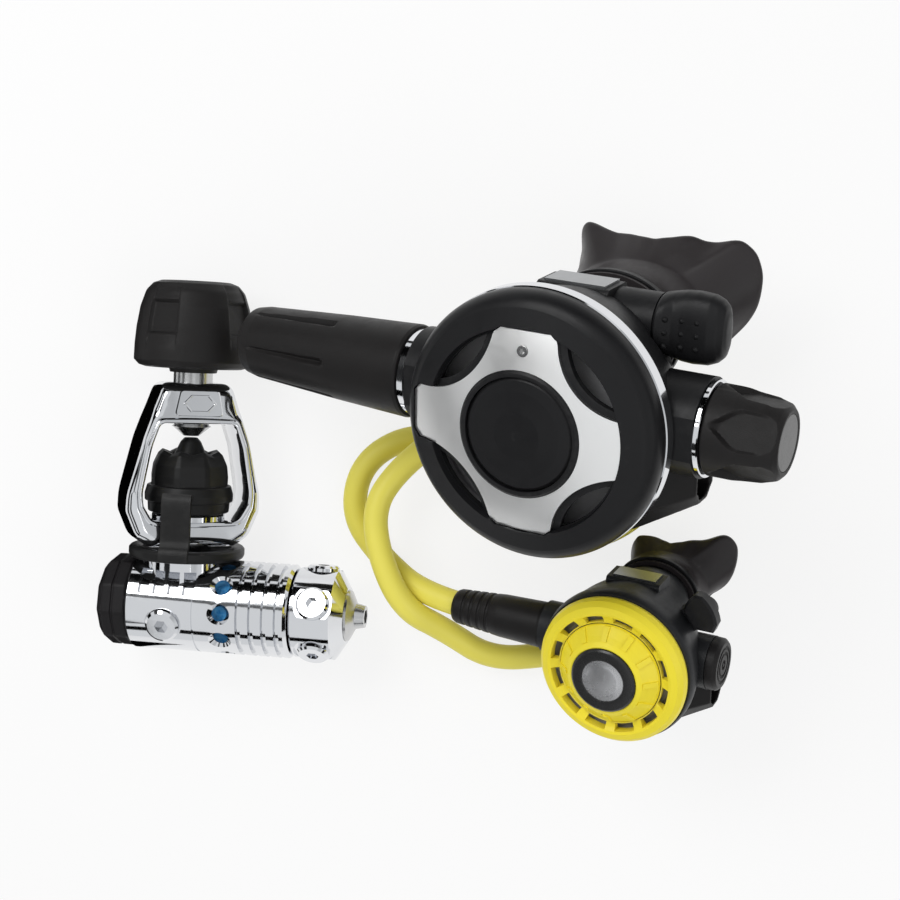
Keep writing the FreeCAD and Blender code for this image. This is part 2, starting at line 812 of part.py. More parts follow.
def plate_prism(grow, z0, z1):
    # four arms with hollow sides between them; grow widens the whole outline
    g = grow
    side = (37.6 + 0.4 * g, 9.2 + g)
    mid = (17.9 + 0.72 * g, 17.5 + 0.72 * g)
    top = (11.4 + g, 30.6 + 0.4 * g)
    tip_x = 41.2 + g
    tip_y = 33.6 + g
    c = 2.6
    p = []
    for sx, sy in ((1, 1), (-1, 1), (-1, -1), (1, -1)):
        quarter = [
            V(sx * tip_x, sy * (side[1] - c), z0),
            V(sx * (tip_x - c * 0.9), sy * side[1], z0),
            V(sx * side[0], sy * side[1], z0),
            V(sx * mid[0], sy * mid[1], z0),
            V(sx * top[0], sy * top[1], z0),
            V(sx * (top[0] - 0.4), sy * (tip_y - c * 0.7), z0),
            V(sx * (top[0] - c), sy * tip_y, z0),
        ]
        if sx * sy < 0:
            quarter.reverse()
        p.append(quarter)
    edges = []
    for i, q in enumerate(p):
        edges.append(Part.LineSegment(q[0], q[1]).toShape())
        edges.append(Part.LineSegment(q[1], q[2]).toShape())
        edges.append(Part.Arc(q[2], q[3], q[4]).toShape())
        edges.append(Part.LineSegment(q[4], q[5]).toShape())
        edges.append(Part.LineSegment(q[5], q[6]).toShape())
        nxt = p[(i + 1) % 4][0]
        edges.append(Part.LineSegment(q[6], nxt).toShape())
    return Part.Face(Part.Wire(edges)).extrude(V(0, 0, z1 - z0))


def prim_front_plate():
    top = sphere_part(46.0, dome_z, plate_sphere)
    low = sphere_part(47.0, dome_z - 1.3, plate_sphere - 1.3)
    plate = plate_prism(0.0, -5.0, 16.0).common(top).cut(low)
    holes = [zcyl(hub_r, -10, 20), zcyl(1.9, 0, 20, 0.0, 27.4), zcyl(1.5, dome_z - 2.6, 20, 0.0, -28.6)]
    return cut(plate, holes).removeSplitter()


def prim_plate_screw():
    head = zcyl(1.8, dome_z - 4.3, dome_z - 2.4, 0.0, 27.4)
    return head.cut(hexagon(1.7, 1.2, (0.0, 27.4, dome_z - 2.35), (0, 0, -1)))


def prim_cover_ring():
    def pt(r, z):
        return (r, 0, z)
    d = dome_z - 12.0
    edges = [
        line(pt(ring_r, -2.0), pt(ring_r, 0.2)),
        arc(pt(ring_r, 0.2), pt(ring_r - 1.0, 4.0 + d), pt(ring_r - 4.6, 6.9 + d)),
        line(pt(ring_r - 4.6, 6.9 + d), pt(window_r + 0.8, 8.5 + d)),
        line(pt(window_r + 0.8, 8.5 + d), pt(window_r + 0.2, 6.44 + d)),
        line(pt(window_r + 0.2, 6.44 + d), pt(27.5, 7.86 + d)),
        line(pt(27.5, 7.86 + d), pt(hub_r - 0.1, 8.98 + d)),
        line(pt(hub_r - 0.1, 8.98 + d), pt(hub_r - 0.1, 10.6 + d)),
        line(pt(hub_r - 0.1, 10.6 + d), pt(hub_r - 0.9, 11.2 + d)),
        line(pt(hub_r - 0.9, 11.2 + d), pt(button_r + run_fit * 4, 10.9 + d)),
        line(pt(button_r + run_fit * 4, 10.9 + d), pt(button_r + run_fit * 4, 3.0)),
        line(pt(button_r + run_fit * 4, 3.0), pt(12.0, 3.0)),
        line(pt(12.0, 3.0), pt(12.0, 1.6)),
        line(pt(12.0, 1.6), pt(hub_r + 0.2, 1.6)),
        line(pt(hub_r + 0.2, 1.6), pt(hub_r + 1.4, 6.0)),
        line(pt(hub_r + 1.4, 6.0), pt(window_r - 0.5, 4.0)),
        line(pt(window_r - 0.5, 4.0), pt(ring_r - 4.2, 2.2)),
        line(pt(ring_r - 4.2, 2.2), pt(ring_r - 2.6, -2.0)),
        line(pt(ring_r - 2.6, -2.0), pt(ring_r, -2.0)),
    ]
    ring = zturn_edges(edges)
    recess = plate_prism(0.25, -5.0, 20.0).cut(sphere_part(47.0, dome_z - 1.35, plate_sphere - 1.35))
    solid_parts = [plate_prism(2.4, -6.0, 21.0), zcyl(hub_r + 1.5, -6.0, 21.0)]
    windows = zcyl(window_r - 0.3, -5.0, 20.0).cut(solid_parts)
    return cut(ring, [recess, windows, zcyl(1.85, dome_z - 4.35, 20, 0.0, 27.4)]).removeSplitter()


def prim_band():
    z = -2.05
    return zturn([(z, ring_r - 4.0), (z, ring_r - 0.2), (z - 0.5, ring_r + 0.3),
                  (z - band_depth + 0.6, ring_r + 0.5),
                  (z - band_depth, ring_r), (z - band_depth, ring_r - 4.0)])


def prim_button():
    rim = dome_z - 2.0
    pts = [
        (dome_z + 0.2, 0.0),
        (dome_z - 0.1, 8.0),
        (dome_z - 0.9, 14.5),
        (rim + 0.5, button_r - 1.0),
        (rim - 0.3, button_r),
        (3.2 + button_travel, button_r),
        (3.2 + button_travel, button_r - 2.2),
        (dome_z - 4.0, button_r - 2.4),
        (dome_z - 3.4, 4.2),
        (-3.35 + soft_gap, 4.2),
        (-3.35 + soft_gap, 0.0),
    ]
    return zturn(pts)


def prim_spring():
    lo = 3.6
    hi = dome_z - 4.6
    return spring(14.2, 1.0, hi - lo, 2.0, (0, 0, lo), (0, 0, 1))


prim_skin = [
    (0, 0.0, -7.3, case_r, case_r),
    (0, 0.0, -13.0, case_r - 0.6, case_r - 0.6),
    (0, 1.5, -24.0, 40.0, 39.5),
    (0, 6.5, -36.0, 34.0, 32.0),
    (0, 13.5, -46.0, 27.0, 24.0),
    (0, 17.0, -54.0, 22.5, 18.4),
    (0, 17.0, -63.0, 22.5, 18.4),
]
prim_hollow = [(x, y, z + (1.5 if i < 1 else 0.0), rx - case_wall, ry - case_wall)
               for i, (x, y, z, rx, ry) in enumerate(prim_skin)]
prim_tee = [
    (-45.0, -31.0, -10.0, -49.0, -33.0),
    (-24.0, -43.0, -12.0, -50.0, -24.0),
    (24.0, -43.0, -12.0, -50.0, -24.0),
    (45.0, -31.0, -10.0, -49.0, -33.0),
]
prim_exhaust = ((0.0, -29.0, -33.4), (0.0, -0.78, -0.626))


def prim_case():
    boss = xcyl(9.6, 8.0, venturi_x, venturi_y, venturi_z)
    pad = box(-14.0, 12.0, 28.0, label_y, -43.0, -27.0)
    pad = pad.makeFillet(2.0, [e for e in pad.Edges if e.BoundBox.ZLength < 0.1 and e.BoundBox.YMin > 30])
    holes = [
        xcyl(valve_r + 0.02, -60, 60, barrel_y, barrel_z),
        xcyl(4.05, 15.5, venturi_x + 1.0, venturi_y, venturi_z),
        xcyl(13.7, venturi_x, 60, venturi_y, venturi_z),
        cyl(8.6, 14.0, [a - 6.0 * b for a, b in zip(*prim_exhaust)], prim_exhaust[1]),
    ]
    wall = loft([(a, b, c, rx - 0.8, ry - 0.8) for a, b, c, rx, ry in prim_skin])
    inside = [wall.common(xcyl(15.6, venturi_x - 2.2, 60, venturi_y, venturi_z))]
    barrel = (barrel_y, barrel_z, barrel_out_r, inlet_ring_x + 1.2, knob_ring_x - 1.0)
    return stage_case(prim_skin, prim_hollow, -7.3, barrel, [boss, pad], inside, holes)


def valve_barrel(y, z, r, bore, x0, x1, slot0, slot1):
    tube = xcyl(r, x0, x1, y, z).cut(xcyl(bore, x0 - 1, x1 + 1, y, z))
    slot = box(slot0, slot1, y - r - 1, y + r + 1, z - 0.5, z + r + 1)
    port = box(slot0 - 12, slot0 - 5, y - 2.5, y + 2.5, z - r - 1, z)
    return tube.cut([slot, port])


def prim_rings():
    y = barrel_y
    z = barrel_z
    left = xturn([(inlet_ring_x - 2.0, valve_r + 0.1), (inlet_ring_x - 2.0, 15.0),
                  (inlet_ring_x - 1.6, 15.4),
                  (inlet_ring_x + 0.6, 15.4), (inlet_ring_x + 1.15, 14.9),
                  (inlet_ring_x + 1.15, valve_r + 0.1)], y, z)
    right = xturn([(knob_ring_x - 0.95, valve_r + 0.1), (knob_ring_x - 0.95, 15.5),
                   (knob_ring_x - 0.5, 15.9),
                   (knob_ring_x + 0.6, 15.9), (knob_ring_x + 0.9, 15.5),
                   (knob_ring_x + 0.9, valve_r + 0.1)], y, z)
    return Part.makeCompound([left, right])


def prim_protector():
    y = barrel_y
    z = barrel_z
    x0 = inlet_ring_x - 2.05
    pts = [
        (x0, 10.2),
        (x0, 16.1),
        (x0 - 1.2, 16.6),
        (x0 - 30.0, 15.4),
        (protector_end + 6.0, 13.3),
        (protector_end + 1.6, 12.4),
        (protector_end, 10.6),
        (protector_end, 5.7),
        (x0 - 30.0, 5.7),
        (x0 - 30.0, 10.2),
    ]
    body = xturn(pts, y, z)
    tools = []
    for i in range(6):
        a = 60.0 * i - 7.0
        slot = box(protector_end + 3.0, x0 - 26.0, y - 0.7, y + 0.7, z + 12.2, z + 20.0)
        slot.rotate(V(0, y, z), V(1, 0, 0), a)
        tools.append(slot)
    return cut(body, tools).removeSplitter()


def prim_inlet():
    # threaded inlet coupling under the hose protector
    y = barrel_y
    z = barrel_z
    x0 = inlet_ring_x - 2.1
    return xturn([(x0 - 29.5, 2.6), (x0 - 29.5, 8.2), (x0 - 16.0, 8.2), (x0 - 16.0, 9.6), (x0, 9.6),
                  (x0, 6.3),
                  (x0 - 10.0, 6.3), (x0 - 10.0, 2.6)], y, z)


def prim_knob():
    y = barrel_y
    z = barrel_z
    x0 = knob_ring_x + 1.0
    end = adj_knob_end
    pts = [
        (x0, 4.85),
        (x0, 14.2),
        (x0 + 0.8, 14.7),
        (x0 + 6.0, 14.7),
        (end - 8.0, 13.2),
        (end - 2.0, 11.8),
        (end - 0.5, 10.6),
        (end - 0.5, 9.2),
        (end - 1.6, 9.2),
        (end - 1.6, 0.0),
        (end - 8.0, 0.0),
        (end - 8.0, 4.85),
    ]
    knob = xturn(pts, y, z)
    tools = []
    for i in range(5):
        a = 72.0 * i - 24.0
        flat = xcyl(14.0, x0 + 5.0, end + 2, y, z + 26.4)
        cone = Part.makeCone(9.0, 14.0, 5.0, V(x0 + 0.6, y, z + 26.4), V(1, 0, 0))
        tool = flat.fuse(cone)
        tool.rotate(V(0, y, z), V(1, 0, 0), a)
        tools.append(tool)
    return cut(knob, tools).removeSplitter()


def prim_adjust_screw():
    y = barrel_y
    z = barrel_z
    end = adj_knob_end - 8.3
    return xturn([(33.0, 0), (33.0, 4.5), (34.5, 6.45), (49.0, 6.45), (49.0, 4.8), (end - 2.6, 4.8),
                  (end - 2.6, 0)], y, z)


def prim_poppet():
    y = barrel_y
    z = barrel_z
    return xturn([(-15.6, 0), (-15.6, 4.2), (-13.0, 4.2), (-13.0, 2.6), (9.0, 2.6), (9.0, 4.6),
                  (19.0, 4.6),
                  (19.0, 1.9), (24.0, 1.9), (24.0, 0)], y, z)


def prim_venturi():
    # hub inside the case boss and a rounded thumb pad with nine dimples
    y = venturi_y
    z = venturi_z
    x = venturi_x
    hub = xcyl(9.2, x + 0.1, x + 7.5, y, z)
    shaft = xcyl(4.0, 16.0, x + 0.2, y, z)
    pad = box(x + 6.4, x + 23.4, y - 11.5, y + 11.5, z - 5.0, z + 6.6)
    pad = pad.makeFillet(5.5, [e for e in pad.Edges if e.BoundBox.ZLength > 10])
    pad = pad.makeFillet(1.8, [e for e in pad.Edges if e.BoundBox.ZMin > z + 6.5])
    dimples = []
    for i in range(3):
        for j in range(3):
            dimples.append(Part.makeSphere(0.95, V(x + 11.0 + 4.2 * i, y - 5.4 + 4.2 * j, z + 6.6)))
    return one([hub, shaft, pad] + dimples)


def prim_mouthpiece():
    cy = mouth_y
    end = mouth_end_z
    collar = (17.0, -55.5, -60.5, prim_collar[0], prim_collar[1])
    outer = [
        (0, 17.0, -60.5, 25.6, 21.4),
        (0, 17.4, -66.0, 23.8, 19.6),
        (0, 18.6, -76.0, 25.4, 18.4),
        (0, cy, -87.0, 31.0, 20.0),
        (0, cy, -95.0, 37.4, 23.8),
        (0, cy, -98.0, 37.0, 23.4),
    ]
    bore = [
        (0, 17.0, -55.0, 22.5 + 0.02, 18.4 + 0.02),
        (0, 17.0, -63.0, 22.5 + 0.02, 18.4 + 0.02),
        (0, 18.0, -70.0, 18.5, 13.5),
        (0, cy, -84.0, 16.5, 10.0),
        (0, cy, -99.0, 16.5, 10.0),
    ]
    lug = (23.5, cy - 2.0, 5.0, 17.0, -97.0, end - 7.5)
    return mouthpiece(collar, outer, bore, lug)


def prim_exhaust_valve():
    p, d = prim_exhaust
    base = [a + 1.6 * b for a, b in zip(p, d)]
    return cyl(9.8, 0.9, base, d)


def build_primary():
    base = place(*prim_angles, prim_pos)
    y = barrel_y
    z = barrel_z
    parts = {
        "ps_case": prim_case(),
        "ps_cover_ring": prim_cover_ring(),
        "ps_chrome_band": prim_band(),
        "ps_front_plate": prim_front_plate(),
        "ps_plate_screw": prim_plate_screw(),
        "ps_purge_button": prim_button(),
        "ps_purge_spring": prim_spring(),
        "ps_diaphragm": diaphragm(ring_r - 4.6, 20.0, -3.4, 1.0),
        "ps_barrel": valve_barrel(y, z, valve_r, 6.5, inlet_ring_x - 2.0, knob_ring_x + 0.9, 10.0, 18.0),
        "ps_chrome_rings": prim_rings(),
        "ps_poppet": prim_poppet(),
        "ps_poppet_spring": spring(3.4, 0.9, 12.4, 7.0, (20.0, y, z), (1, 0, 0)),
        "ps_demand_lever": demand_lever(y, 14.0, barrel_z - 0.3, -4.0, -7.2, 4.85, 7.0, 1.1),
        "ps_hose_protector": prim_protector(),
        "ps_adjust_knob": prim_knob(),
        "ps_adjust_screw": prim_adjust_screw(),
        "ps_knob_badge": xcyl(9.1, adj_knob_end - 1.55, adj_knob_end - 0.7, y, z),
        "ps_venturi_lever": prim_venturi(),
        "ps_mouthpiece": prim_mouthpiece(),
        "ps_exhaust_tee": exhaust_tee(prim_tee, 2.2, prim_skin, (y, z, barrel_out_r), prim_exhaust, 10.2),
    }
    for name, shape in parts.items():
        made[name] = moved(shape, base)


# Octopus second stage

octo_skin = [
    (0, 0.0, -1.2, 27.8, 27.8),
    (0, 0.0, -4.0, 28.5, 28.5),
    (0, 0.0, -10.0, 27.6, 27.6),
    (0, 2.0, -18.0, 25.4, 24.6),
    (0, 6.0, -26.0, 21.0, 19.4),
    (0, 10.5, -33.5, 15.6, 14.4),
    (0, 11.5, -38.0, 13.4, 11.8),
    (0, 11.5, -43.0, 13.4, 11.8),
]
octo_hollow = [(x, y, z + (1.0 if i == 0 else 0.0), rx - octo_wall, ry - octo_wall)
               for i, (x, y, z, rx, ry) in enumerate(octo_skin)]
octo_hollow.append((0, 11.5, -44.0, 13.4 - octo_wall, 11.8 - octo_wall))
octo_tee = [
    (-28.5, -21.0, -6.0, -34.0, -22.0),
    (-15.0, -27.5, -7.0, -33.5, -15.0),
    (15.0, -27.5, -7.0, -33.5, -15.0),
    (28.5, -21.0, -6.0, -34.0, -22.0),
]
octo_exhaust = ((0.0, -18.6, -22.4), (0.0, -0.78, -0.626))


def octo_cover_ring():
    r = octo_r
    d = octo_disc_r
    pts = [
        (-1.1, r - 2.0),
        (-1.1, r - 0.3),
        (0.4, r),
        (2.6, r - 0.5),
        (4.4, r - 2.0),
        (5.2, r - 4.2),
        (4.9, d + 1.6),
        (4.0, d + 0.3),
        (3.2, d - 1.6),
        (1.4, d - 1.6),
        (1.4, r - 4.0),
        (0.6, r - 2.0),
    ]
    ring = zturn(pts)
    tools = []
    step = 360.0 / octo_slots
    for i in range(octo_slots):
        inner = Part.makeCylinder(d - 1.2, 12, V(0, 0, -2), V(0, 0, 1), step * 0.68)
        outer = Part.makeCylinder(d + 1.5, 12, V(0, 0, -2), V(0, 0, 1), step * 0.68)
        slot = outer.cut(inner)
        slot.rotate(V(0, 0, 0), V(0, 0, 1), step * i + 7.0)
        tools.append(slot)
        for k in (-2.6, 2.6):
            groove = box(r - 4.6, r + 0.2, -0.45, 0.45, 4.9, 7.0)
            groove.rotate(V(r - 2.3, 0, 4.9), V(0, 1, 0), 32.0)
            groove.rotate(V(0, 0, 0), V(0, 0, 1), step * (i + 0.84) + 7.0 + k)
            if i % 2 == 0:
                tools.append(groove)
    return cut(ring, tools).removeSplitter()


def octo_purge_disc():
    r = octo_disc_r - 1.7 - run_fit * 3
    b = octo_badge_r + 0.15
    pts = [
        (3.3, r),
        (4.1, r - 0.4),
        (6.6, r - 3.2),
        (8.3, b + 1.9),
        (9.1, b + 0.5),
        (9.1, b),
        (8.3, b),
        (8.3, 0.0),
        (6.6, 0.0),
        (6.6, b + 0.8),
        (4.6, r - 3.4),
        (1.9, r - 1.6),
        (1.5 + octo_travel, r),
    ]
    disc = zturn(pts)
    post = zcyl(3.0, -1.35, 7.0)
    ribs = []
    step = 360.0 / octo_slots
    for i in range(octo_slots):
        face = Part.makePolygon([V(b + 2.0, -0.9, 7.6), V(r - 0.3, -0.9, 3.9), V(r - 0.3, -0.9, 4.7),
                                 V(r - 2.4, -0.9, 6.7), V(b + 2.4, -0.9, 8.5), V(b + 2.0, -0.9, 7.6)])
        rib = Part.Face(face).extrude(V(0, 1.8, 0))
        rib.rotate(V(0, 0, 0), V(0, 0, 1), step * (i + 0.84) + 7.0)
        ribs.append(rib)
    return one([disc, post] + ribs)


def octo_badge():
    b = octo_badge_r
    ring = zturn([(8.35, 0), (8.35, b), (9.6, b), (10.2, b - 0.8), (10.3, octo_badge_in_r),
                  (9.9, octo_badge_in_r - 0.2),
                  (10.2, octo_badge_in_r - 2.5), (10.5, 0)])
    return ring


def octo_case():
    y = 0.0
    z = octo_barrel_z
    pad = box(-10.0, 10.0, 20.0, 27.2, -26.5, -15.5)
    pad = pad.makeFillet(1.4, [e for e in pad.Edges if e.BoundBox.ZLength < 0.1 and e.BoundBox.YMin > 22])
    pivot = zcyl(4.4, -22.0, fin_z - 2.1, fin_x, fin_y)
    web = box(20.0, 32.4, -4.4, 4.4, -22.0, fin_z - 2.1)
    web.rotate(V(0, 0, 0), V(0, 0, 1), math.degrees(math.atan2(fin_y, fin_x)))
    holes = [
        xcyl(octo_valve_r + 0.02, -40, 30.5, y, z),
        zcyl(2.05, -20.0, fin_z, fin_x, fin_y),
        cyl(5.2, 9.0, [a - 4.0 * b for a, b in zip(*octo_exhaust)], octo_exhaust[1]),
    ]
    barrel = (y, z, octo_barrel_r, -34.6, 29.2)
    return stage_case(octo_skin, octo_hollow, -1.2, barrel, [pad, pivot, web], [], holes)


def octo_fin():
    # shark-fin lever that swings about its post
    z = fin_z
    low = z - 2.0
    inner = V(fin_x - 5.0, fin_y + 1.6, low)
    apex = V(fin_x - 0.7, fin_y + 8.6, low)
    tip = V(fin_x + 1.5, fin_y + 8.4, low)
    corner = V(fin_x + 7.3, fin_y - 1.2, low)
    heel = V(fin_x + 6.0, fin_y - 4.5, low)
    root = V(fin_x - 1.0, fin_y - 4.5, low)
    edges = [
        Part.Arc(inner, V(fin_x - 3.9, fin_y + 5.2, low), apex).toShape(),
        Part.LineSegment(apex, tip).toShape(),
        Part.Arc(tip, V(fin_x + 5.3, fin_y + 4.3, low), corner).toShape(),
        Part.LineSegment(corner, heel).toShape(),
        Part.LineSegment(heel, root).toShape(),
        Part.LineSegment(root, inner).toShape(),
    ]
    plate = Part.Face(Part.Wire(edges)).extrude(V(0, 0, 4.6))
    plate = plate.makeChamfer(0.8, [e for e in plate.Edges if e.BoundBox.ZMin > z + 2.5])
    post = zcyl(2.0, z - 5.8, z - 1.0, fin_x, fin_y)
    return one([plate, post])


def octo_protector():
    z = octo_barrel_z
    pts = [
        (-34.65, 7.0),
        (-34.65, 8.2),
        (-36.0, 8.5),
        (-54.0, 8.0),
        (octo_prot_end + 1.2, 6.6),
        (octo_prot_end, octo_prot_r - 0.1),
        (octo_prot_end, hose_r + 0.05),
        (octo_inlet_x, hose_r + 0.05),
        (octo_inlet_x, 7.0),
    ]
    return xturn(pts, 0.0, z)


def octo_inlet():
    z = octo_barrel_z
    x = octo_inlet_x + 0.1
    return xturn([(x, 2.2), (x, hose_r), (-46.0, hose_r), (-46.0, 6.6), (-35.0, 6.6), (-35.0, 3.9),
                  (-42.0, 3.9), (-42.0, 2.2)], 0.0, z)


def octo_cap():
    z = octo_barrel_z
    x = octo_cap_x
    pts = [(29.3, 0), (29.3, 9.7), (x - 1.0, 9.4), (x, 8.4), (x, 6.8), (x - 0.6, 6.4), (x - 0.6, 5.2),
           (x, 4.8), (x, 3.4),
           (x - 0.6, 3.0), (x - 0.6, 1.8), (x, 1.4), (x, 0)]
    return xturn(pts, 0.0, z)


def octo_poppet():
    z = octo_barrel_z
    return xturn([(-8.6, 0), (-8.6, 2.6), (-7.0, 2.6), (-7.0, 1.6), (5.0, 1.6), (5.0, 2.9),
                  (11.0, 2.9), (11.0, 1.4),
                  (22.0, 1.4), (22.0, 0)], 0.0, z)


def octo_mouthpiece():
    cy = octo_mouth_y
    end = octo_mouth_end_z
    collar = (11.5, -38.5, -42.0, octo_collar[0], octo_collar[1])
    outer = [
        (0, 11.5, -42.0, 15.4, 13.8),
        (0, 11.7, -45.0, 14.4, 12.4),
        (0, 12.4, -50.0, 15.4, 11.6),
        (0, cy, -55.0, 18.2, 12.6),
        (0, cy, -58.4, 21.0, 14.8),
        (0, cy, -60.2, 20.8, 14.4),
    ]
    bore = [
        (0, 11.5, -38.0, 13.4 + 0.02, 11.8 + 0.02),
        (0, 11.5, -43.0, 13.4 + 0.02, 11.8 + 0.02),
        (0, 12.0, -47.0, 11.0, 8.6),
        (0, cy, -54.0, 10.0, 6.2),
        (0, cy, -61.0, 10.0, 6.2),
    ]
    lug = (13.6, cy - 1.0, 3.4, 10.4, -59.6, end - 4.5)
    return mouthpiece(collar, outer, bore, lug)


def build_octopus():
    base = place(*octo_angles, octo_pos)
    z = octo_barrel_z
    parts = {
        "os_case": octo_case(),
        "os_cover_ring": octo_cover_ring(),
        "os_purge_disc": octo_purge_disc(),
        "os_purge_badge": octo_badge(),
        "os_diaphragm": diaphragm(octo_r - 2.6, 12.0, -1.75, 0.8),
        "os_barrel": valve_barrel(0.0, z, octo_valve_r, 4.1, -34.9, 29.2, 5.6, 11.0),
        "os_poppet": octo_poppet(),
        "os_demand_lever": demand_lever(0.0, 8.2, z - 0.3, -3.0, -5.4, 3.1, 4.4, 0.8),
        "os_hose_protector": octo_protector(),
        "os_venturi_lever": octo_fin(),
        "os_end_cap": octo_cap(),
        "os_mouthpiece": octo_mouthpiece(),
        "os_exhaust_tee": exhaust_tee(octo_tee, 1.6, octo_skin, (0.0, z, octo_barrel_r), octo_exhaust, 6.5),
    }
    for name, shape in parts.items():
        made[name] = moved(shape, base)


# Pieces shared by both second stages

def build_shared():
    prim = place(*prim_angles, prim_pos)
    octo = place(*octo_angles, octo_pos)
    prim_tie = tie(17.0, -56.6, -60.2, prim_collar, 1.4, (6.0, 2.4))
    octo_tie = tie(11.5, -39.6, -41.8, octo_collar, 1.0, (4.0, 1.8))
    ties = [moved(prim_tie, prim), moved(octo_tie, octo)]
    made["mouthpiece_ties"] = Part.makeCompound(ties)
    prim_label = box(-12.0, 10.0, label_y + 0.05, label_y + 0.8, -41.0, -29.0)
    octo_label = box(-8.0, 8.0, 27.25, 27.8, -24.6, -17.4)
    made["case_badges"] = Part.makeCompound([moved(prim_label, prim), moved(octo_label, octo)])
    p, d = octo_exhaust
    octo_flap = cyl(6.2, 0.7, [a + 1.2 * b for a, b in zip(p, d)], d)
    made["exhaust_valves"] = Part.makeCompound([moved(prim_exhaust_valve(), prim), moved(octo_flap, octo)])
    made["inlet_couplings"] = Part.makeCompound([moved(prim_inlet(), prim), moved(octo_inlet(), octo)])
    prim_seat = xturn([(-46.0, 2.0), (-46.0, 6.45), (-17.0, 6.45), (-15.7, 3.4),
                       (-15.7, 2.0)], barrel_y, barrel_z)
    octo_seat = xturn([(-30.0, 1.4), (-30.0, 4.05), (-10.0, 4.05), (-8.7, 2.2),
                       (-8.7, 1.4)], 0.0, octo_barrel_z)
    made["orifices"] = Part.makeCompound([moved(prim_seat, prim), moved(octo_seat, octo)])


# Octopus hose



def coil_point(angle, z):
    # corner of the eight-sided path that the coil's arcs round off
    r = coil_r / math.cos(math.radians(22.5))
    a = math.radians(angle)
    return V(coil_x + r * math.cos(a), coil_y + r * math.sin(a), z)


def hose_points():
    # out of the octopus protector, a wide loop on the floor, the stored coil, then back over the
    # loop to the fitting
    octo = place(*octo_angles, octo_pos)
    z = hose_floor
    pts = [
        octo.multVec(V(octo_inlet_x, 0.0, octo_barrel_z)),
        octo.multVec(V(octo_prot_end - 13.0, 0.0, octo_barrel_z)),
        V(74.2, 8.6, z + 2.35),
        V(57.7, 28.6, z),
        V(59.7, 54.6, z),
        V(77.4, 70.6, z),
        V(101.7, 71.6, z),
        V(118.4, 54.0, z),
    ]
    angle = coil_start
    for corner in range(coil_corners):
        layer, part = divmod(corner, 8)
        angle = coil_start + 45.0 * corner
        height = z + layer * coil_step
        if layer < 2 and part == 6:
            height += 0.24 * coil_step
        if layer < 2 and part == 7:
            height += coil_step + 0.15
        pts.append(coil_point(angle, height))
    out = math.radians(angle + 112.5)
    last = pts[-1]
    for run, rise in ((27.0, 24.0), (51.0, 19.0)):
        pts.append(V(last.x + run * math.cos(out), last.y + run * math.sin(out), z + rise))
    pts += [
        V(87.9, 56.1, z + 13.0),
        V(70.7, 38.5, z + 9.5),
        V(68.7, 14.6, z + 12.5),
        V(83.9, -4.4, z + 16.5),
        V(105.2, -15.7, z + 6.5),
        V(126.7, -21.4, z),
        V(148.7, -17.9, z + 0.4),
        V(166.7, -13.1, z + 2.1),
    ]
    return pts


def bend_radius(a, p, b):
    one_run = (a - p).Length
    two_run = (b - p).Length
    turn = math.pi - (a - p).getAngle(b - p)
    return 0.45 * min(one_run, two_run) / math.tan(turn / 2.0), math.degrees(turn)


def route(pts):
    # straight runs joined by tangent arcs
    edges = []
    prev = pts[0]
    for i in range(1, len(pts) - 1):
        p = pts[i]
        a = (pts[i - 1] - p)
        b = (pts[i + 1] - p)
        r = bend_radius(pts[i - 1], p, pts[i + 1])[0]
        reach = 0.45 * min(a.Length, b.Length)
        a.normalize()
        b.normalize()
        half = a.getAngle(b) / 2.0
        mid_dir = (a + b).normalize()
        middle = p + mid_dir * (reach / math.cos(half) - r)
        start = p + a * reach
        stop = p + b * reach
        edges.append(Part.LineSegment(prev, start).toShape())
        edges.append(Part.Arc(start, middle, stop).toShape())
        prev = stop
    edges.append(Part.LineSegment(prev, pts[-1]).toShape())
    return Part.Wire(edges)


def tube(pts, r):
    wire = route(pts)
    first = pts[1] - pts[0]
    ring = Part.Wire(Part.Circle(pts[0], first, r).toShape())
    solid = wire.makePipeShell([ring], True, False)
    return solid, wire


def build_hose():
    pts = hose_points()
    for i in range(1, len(pts) - 1):
        r, turn = bend_radius(pts[i - 1], pts[i], pts[i + 1])
        run = (pts[i] - pts[i - 1]).Length
        print("hose bend", i, "radius", round(r, 1), "turn", round(turn, 1), "run", round(run, 1))
    solid, wire = tube(pts, hose_r)
    print("hose length", round(wire.Length, 1), "volume", round(solid.Volume, 1),
          "section x length", round(math.pi * hose_r * hose_r * wire.Length, 1))
    made["lp_hose"] = solid
    end = pts[-1]
    d = (pts[-1] - pts[-2]).normalize()
    crimp = Part.makeCylinder(hose_r + 1.2, 13.0, end + d * 0.02, d)
    nut = hexagon(13.4, 6.5, end + d * 13.0, d)
    neck = Part.makeCylinder(4.0, 2.0, end + d * 19.5, d)
    thread = Part.makeCylinder(fitting_r, fitting_len, end + d * 21.0, d)
    bore = Part.makeCylinder(2.4, 40.0, end + d * 6.0, d)
    made["hose_fitting"] = one([crimp, nut, neck, thread]).cut(bore)
    print("fitting base", end + d * (21.0 + fitting_len), "axis", d)


build_first()
build_primary()
build_octopus()
build_shared()
build_hose()

os.makedirs("parts", exist_ok=True)
low = min(s.BoundBox.ZMin for s in made.values())
for name, shape in made.items():
    if not shape.isValid():
        print("not valid:", name)
    shape.translate(V(*set_shift))
    shape.exportStep("parts/" + name + ".step")
    c = shape.BoundBox
    print(name, len(shape.Solids), round(shape.Volume, 1), "z", round(c.ZMin, 2), round(c.ZMax, 2))
print("nodes", len(made), "lowest", round(low, 3))
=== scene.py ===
import math

import bmesh
import bpy
import numpy as np
from mathutils import Matrix, Vector


